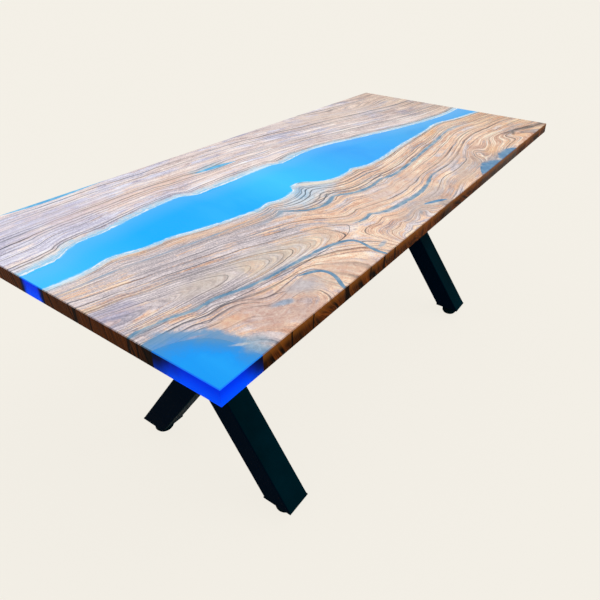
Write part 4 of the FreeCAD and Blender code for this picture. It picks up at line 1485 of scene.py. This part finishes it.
bolt_layout = make_bolt_layout()
for number, end in enumerate(FRAMES):
    low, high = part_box(f"{end}_frame_bolts")
    points = bolt_points(end)
    guide = bpy.data.meshes.new(f"{end}_bolt_points")
    guide.from_pydata(points, [], [])
    bolts = run_layout(bolt_layout, guide, Head=points[0].z - low.z, Shank=high.z - points[0].z, Seed=number,
                       Finish=black_bolt)
    add_piece(f"{end}_hexagon_bolts", bolts, "table", f"{end}_frame_bolts")
    print(end, "bolts:", len(points))

# %% [markdown]
# Each foot has a glide pad, turned with a rounded rim, and a stud with a chamfered hexagon collar and a
# real screw thread. The thread is a ridge that winds up a thinner core, and it comes into sight when the
# foot is screwed out.

# %% Threaded studs and glide pads of the feet
STUD_RADIUS = 0.005
THREAD_PITCH = 0.0015
THREAD_DEPTH = 0.0006
COLLAR_HEIGHT = 0.008
COLLAR_CHAMFER = 0.0009
PAD_RIM_HEIGHT = 0.018
PAD_NECK_RADIUS = 0.017
PAD_ROUNDING = 0.0018
SEAT_RADIUS = 0.0053
SEAT_DEPTH = 0.0093
PAD_STEPS = 72
MEETING_POINTS = 1e-6
ROUNDED_FROM = math.radians(20)
SHARP_FROM = math.radians(35)


def make_thread_layout():
    """A threaded rod that rises from the top of a collar, joined to the collar."""
    _, start, end = new_layout("threaded_rod", {"Foot": "Float", "Rise": "Float", "Pitch": "Float"})
    core_radius = STUD_RADIUS - THREAD_DEPTH
    core = add_node("GeometryNodeMeshCone", Vertices=ROUND, Radius_Bottom=core_radius,
                    Radius_Top=core_radius, Depth=start["Rise"]).outputs["Mesh"]
    turns = maths("DIVIDE", start["Rise"], start["Pitch"])
    helix = add_node("GeometryNodeCurveSpiral", Resolution=24, Rotations=turns,
                     Start_Radius=core_radius, End_Radius=core_radius, Height=start["Rise"]).outputs[0]
    helix = add_node("GeometryNodeSetCurveNormal", {"mode": "Z_UP"}, Curve=helix).outputs[0]
    ridge = add_node("GeometryNodeCurvePrimitiveCircle", Resolution=4, Radius=THREAD_DEPTH).outputs[0]
    thread = add_node("GeometryNodeCurveToMesh", Curve=helix, Profile_Curve=ridge, Fill_Caps=True)
    rod = joined([core, thread.outputs[0]])
    lifted = moved_to(rod, start["Foot"]).outputs[0]
    return end_layout(start, end, joined([start["Guide"], lifted]))


def collar_mesh(name, radius, low, high):
    """The stud's chamfered hexagon collar and the plain pin below it, standing on their own axis."""
    mesh = bpy.data.meshes.new(name)
    form = bmesh.new()
    parts = ((HEXAGON, radius, high - COLLAR_HEIGHT, high), (ROUND, STUD_RADIUS, low, high))
    for corners, wide, bottom, top in parts:
        lift = Matrix.Translation((0, 0, (bottom + top) / 2))
        bmesh.ops.create_cone(form, cap_ends=True, segments=corners, radius1=wide, radius2=wide,
                              depth=top - bottom, matrix=lift)
    rims = [edge for edge in form.edges if abs(edge.verts[0].co.z - edge.verts[1].co.z) < COLLAR_CHAMFER
            and edge.verts[0].co.xy.length > STUD_RADIUS * 1.5]
    bmesh.ops.bevel(form, geom=rims, offset=COLLAR_CHAMFER, segments=2, affect="EDGES", profile=0.6)
    form.to_mesh(mesh)
    form.free()
    return mesh


def pad_mesh(name, radius, low, high):
    """A glide pad: a profile spun round its axis, with its rims rounded."""
    profile = ((0, low), (radius, low), (radius, low + PAD_RIM_HEIGHT), (PAD_NECK_RADIUS, high),
               (SEAT_RADIUS, high), (SEAT_RADIUS, high - SEAT_DEPTH), (0, high - SEAT_DEPTH))
    mesh = bpy.data.meshes.new(name)
    form = bmesh.new()
    points = [form.verts.new((across, 0, height)) for across, height in profile]
    edges = [form.edges.new(pair) for pair in zip(points, points[1:])]
    bmesh.ops.spin(form, geom=points + edges, axis=(0, 0, 1), cent=(0, 0, 0), angle=math.tau, steps=PAD_STEPS)
    bmesh.ops.remove_doubles(form, verts=form.verts, dist=MEETING_POINTS)
    bmesh.ops.recalc_face_normals(form, faces=form.faces)
    rims = [edge for edge in form.edges if edge.calc_face_angle(0) > ROUNDED_FROM
            and edge.verts[0].co.xy.length > SEAT_RADIUS * 2]
    bmesh.ops.bevel(form, geom=rims, offset=PAD_ROUNDING, segments=4, affect="EDGES", profile=0.5)
    form.to_mesh(mesh)
    form.free()
    mesh.shade_smooth()
    mesh.set_sharp_from_angle(angle=SHARP_FROM)
    return mesh


thread_layout = make_thread_layout()
for leg in LEGS:
    low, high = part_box(f"{leg}_foot_pad")
    axis = Vector(((low.x + high.x) / 2, (low.y + high.y) / 2, 0))
    pad = pad_mesh(f"{leg}_glide_pad", (high.x - low.x) / 2, low.z, high.z)
    pad.materials.append(foot_moulding)
    pad.transform(Matrix.Translation(axis))
    add_piece(f"{leg}_glide_pad", pad, f"{leg}_foot", f"{leg}_foot_pad")
    stud_low, stud_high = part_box(f"{leg}_foot_stud")
    collar_top = high.z + COLLAR_HEIGHT
    wide = max(stud_high.x - stud_low.x, stud_high.y - stud_low.y) / 2
    collar = collar_mesh(f"{leg}_collar", wide, stud_low.z, collar_top)
    stud = run_layout(thread_layout, collar, Foot=collar_top, Rise=stud_high.z - collar_top,
                      Pitch=THREAD_PITCH, Finish=bright_zinc)
    stud.transform(Matrix.Translation(axis))
    add_piece(f"{leg}_threaded_stud", stud, f"{leg}_stud", f"{leg}_foot_stud")
print("glide pads and threaded studs:", len(LEGS), "each")

# %% [markdown]
# The studio is a pale floor under an even white sky, with one broad soft lamp from the front. The sky
# that the camera and the reflections see has the floor's own colour, so no horizon shows.

# %% Floor, sky and lamp
BACKDROP = paint("F4F0E7")
SKY_LIGHT = 0.80
LAMP_LIGHT = 0.95
LAMP_FROM = Vector((0.35, -0.55, 0.80))
LAMP_BREADTH = math.radians(50)
FLOOR_HALF = 40.0
FLOOR_EVENNESS = 0.93
FLOOR_SHADE = 0.92


def mix_shaders(share, first, second):
    """Two shaders mixed by a share."""
    made = add_node("ShaderNodeMixShader")
    for socket, source in zip(made.inputs, (share, first, second)):
        feed(socket, source)
    return made.outputs[0]


def add_floor():
    """A wide pale floor under the feet, clear from below so that the underside can be looked at."""
    mesh = bpy.data.meshes.new("floor")
    corners = [(x * FLOOR_HALF, y * FLOOR_HALF, 0) for x, y in ((-1, -1), (1, -1), (1, 1), (-1, 1))]
    mesh.from_pydata(corners, [], [(0, 1, 2, 3)])
    floor = bpy.data.objects.new("floor", mesh)
    scene.collection.objects.link(floor)
    finish, shader, _ = new_finish("floor_paint", Roughness=0.9, Specular_IOR_Level=0.0)
    shader.inputs["Base Color"].default_value = [FLOOR_SHADE * share for share in BACKDROP[:3]] + [1.0]
    shown = add_node("ShaderNodeEmission", Color=BACKDROP, Strength=1.0)
    seen = add_node("ShaderNodeLightPath").outputs["Is Camera Ray"]
    mixed = mix_shaders(times(seen, FLOOR_EVENNESS), shader.outputs[0], shown.outputs[0])
    clear = add_node("ShaderNodeBsdfTransparent").outputs[0]
    below = add_node("ShaderNodeNewGeometry").outputs["Backfacing"]
    wire(finish.node_tree.nodes["Material Output"].inputs, Surface=mix_shaders(below, mixed, clear))
    mesh.materials.append(finish)


def add_sky():
    """White light from all round, and the floor's colour for what the camera and reflections see."""
    world = bpy.data.worlds.new("studio_sky")
    scene.world = world
    world.use_nodes = True
    tree = begin(world.node_tree)
    light = tree.nodes["Background"]
    wire(light.inputs, Color=(1.0, 1.0, 1.0, 1.0), Strength=SKY_LIGHT)
    shown = add_node("ShaderNodeBackground", Color=BACKDROP, Strength=1.0)
    rays = add_node("ShaderNodeLightPath").outputs
    seen = larger(rays["Is Camera Ray"], rays["Is Glossy Ray"])
    seen = larger(seen, rays["Is Transmission Ray"])
    mixed = mix_shaders(seen, light.outputs[0], shown.outputs[0])
    wire(tree.nodes["World Output"].inputs, Surface=mixed)


def add_lamp():
    """A broad soft sun, so that the floor is lit evenly."""
    data = bpy.data.lights.new("soft_lamp", "SUN")
    data.energy = LAMP_LIGHT
    data.angle = LAMP_BREADTH
    lamp = bpy.data.objects.new("soft_lamp", data)
    lamp.rotation_mode = "QUATERNION"
    lamp.rotation_quaternion = LAMP_FROM.to_track_quat("Z", "Y")
    scene.collection.objects.link(lamp)


add_floor()
add_sky()
add_lamp()
scene.view_settings.view_transform = "Standard"
print("floor, sky and lamp ready")
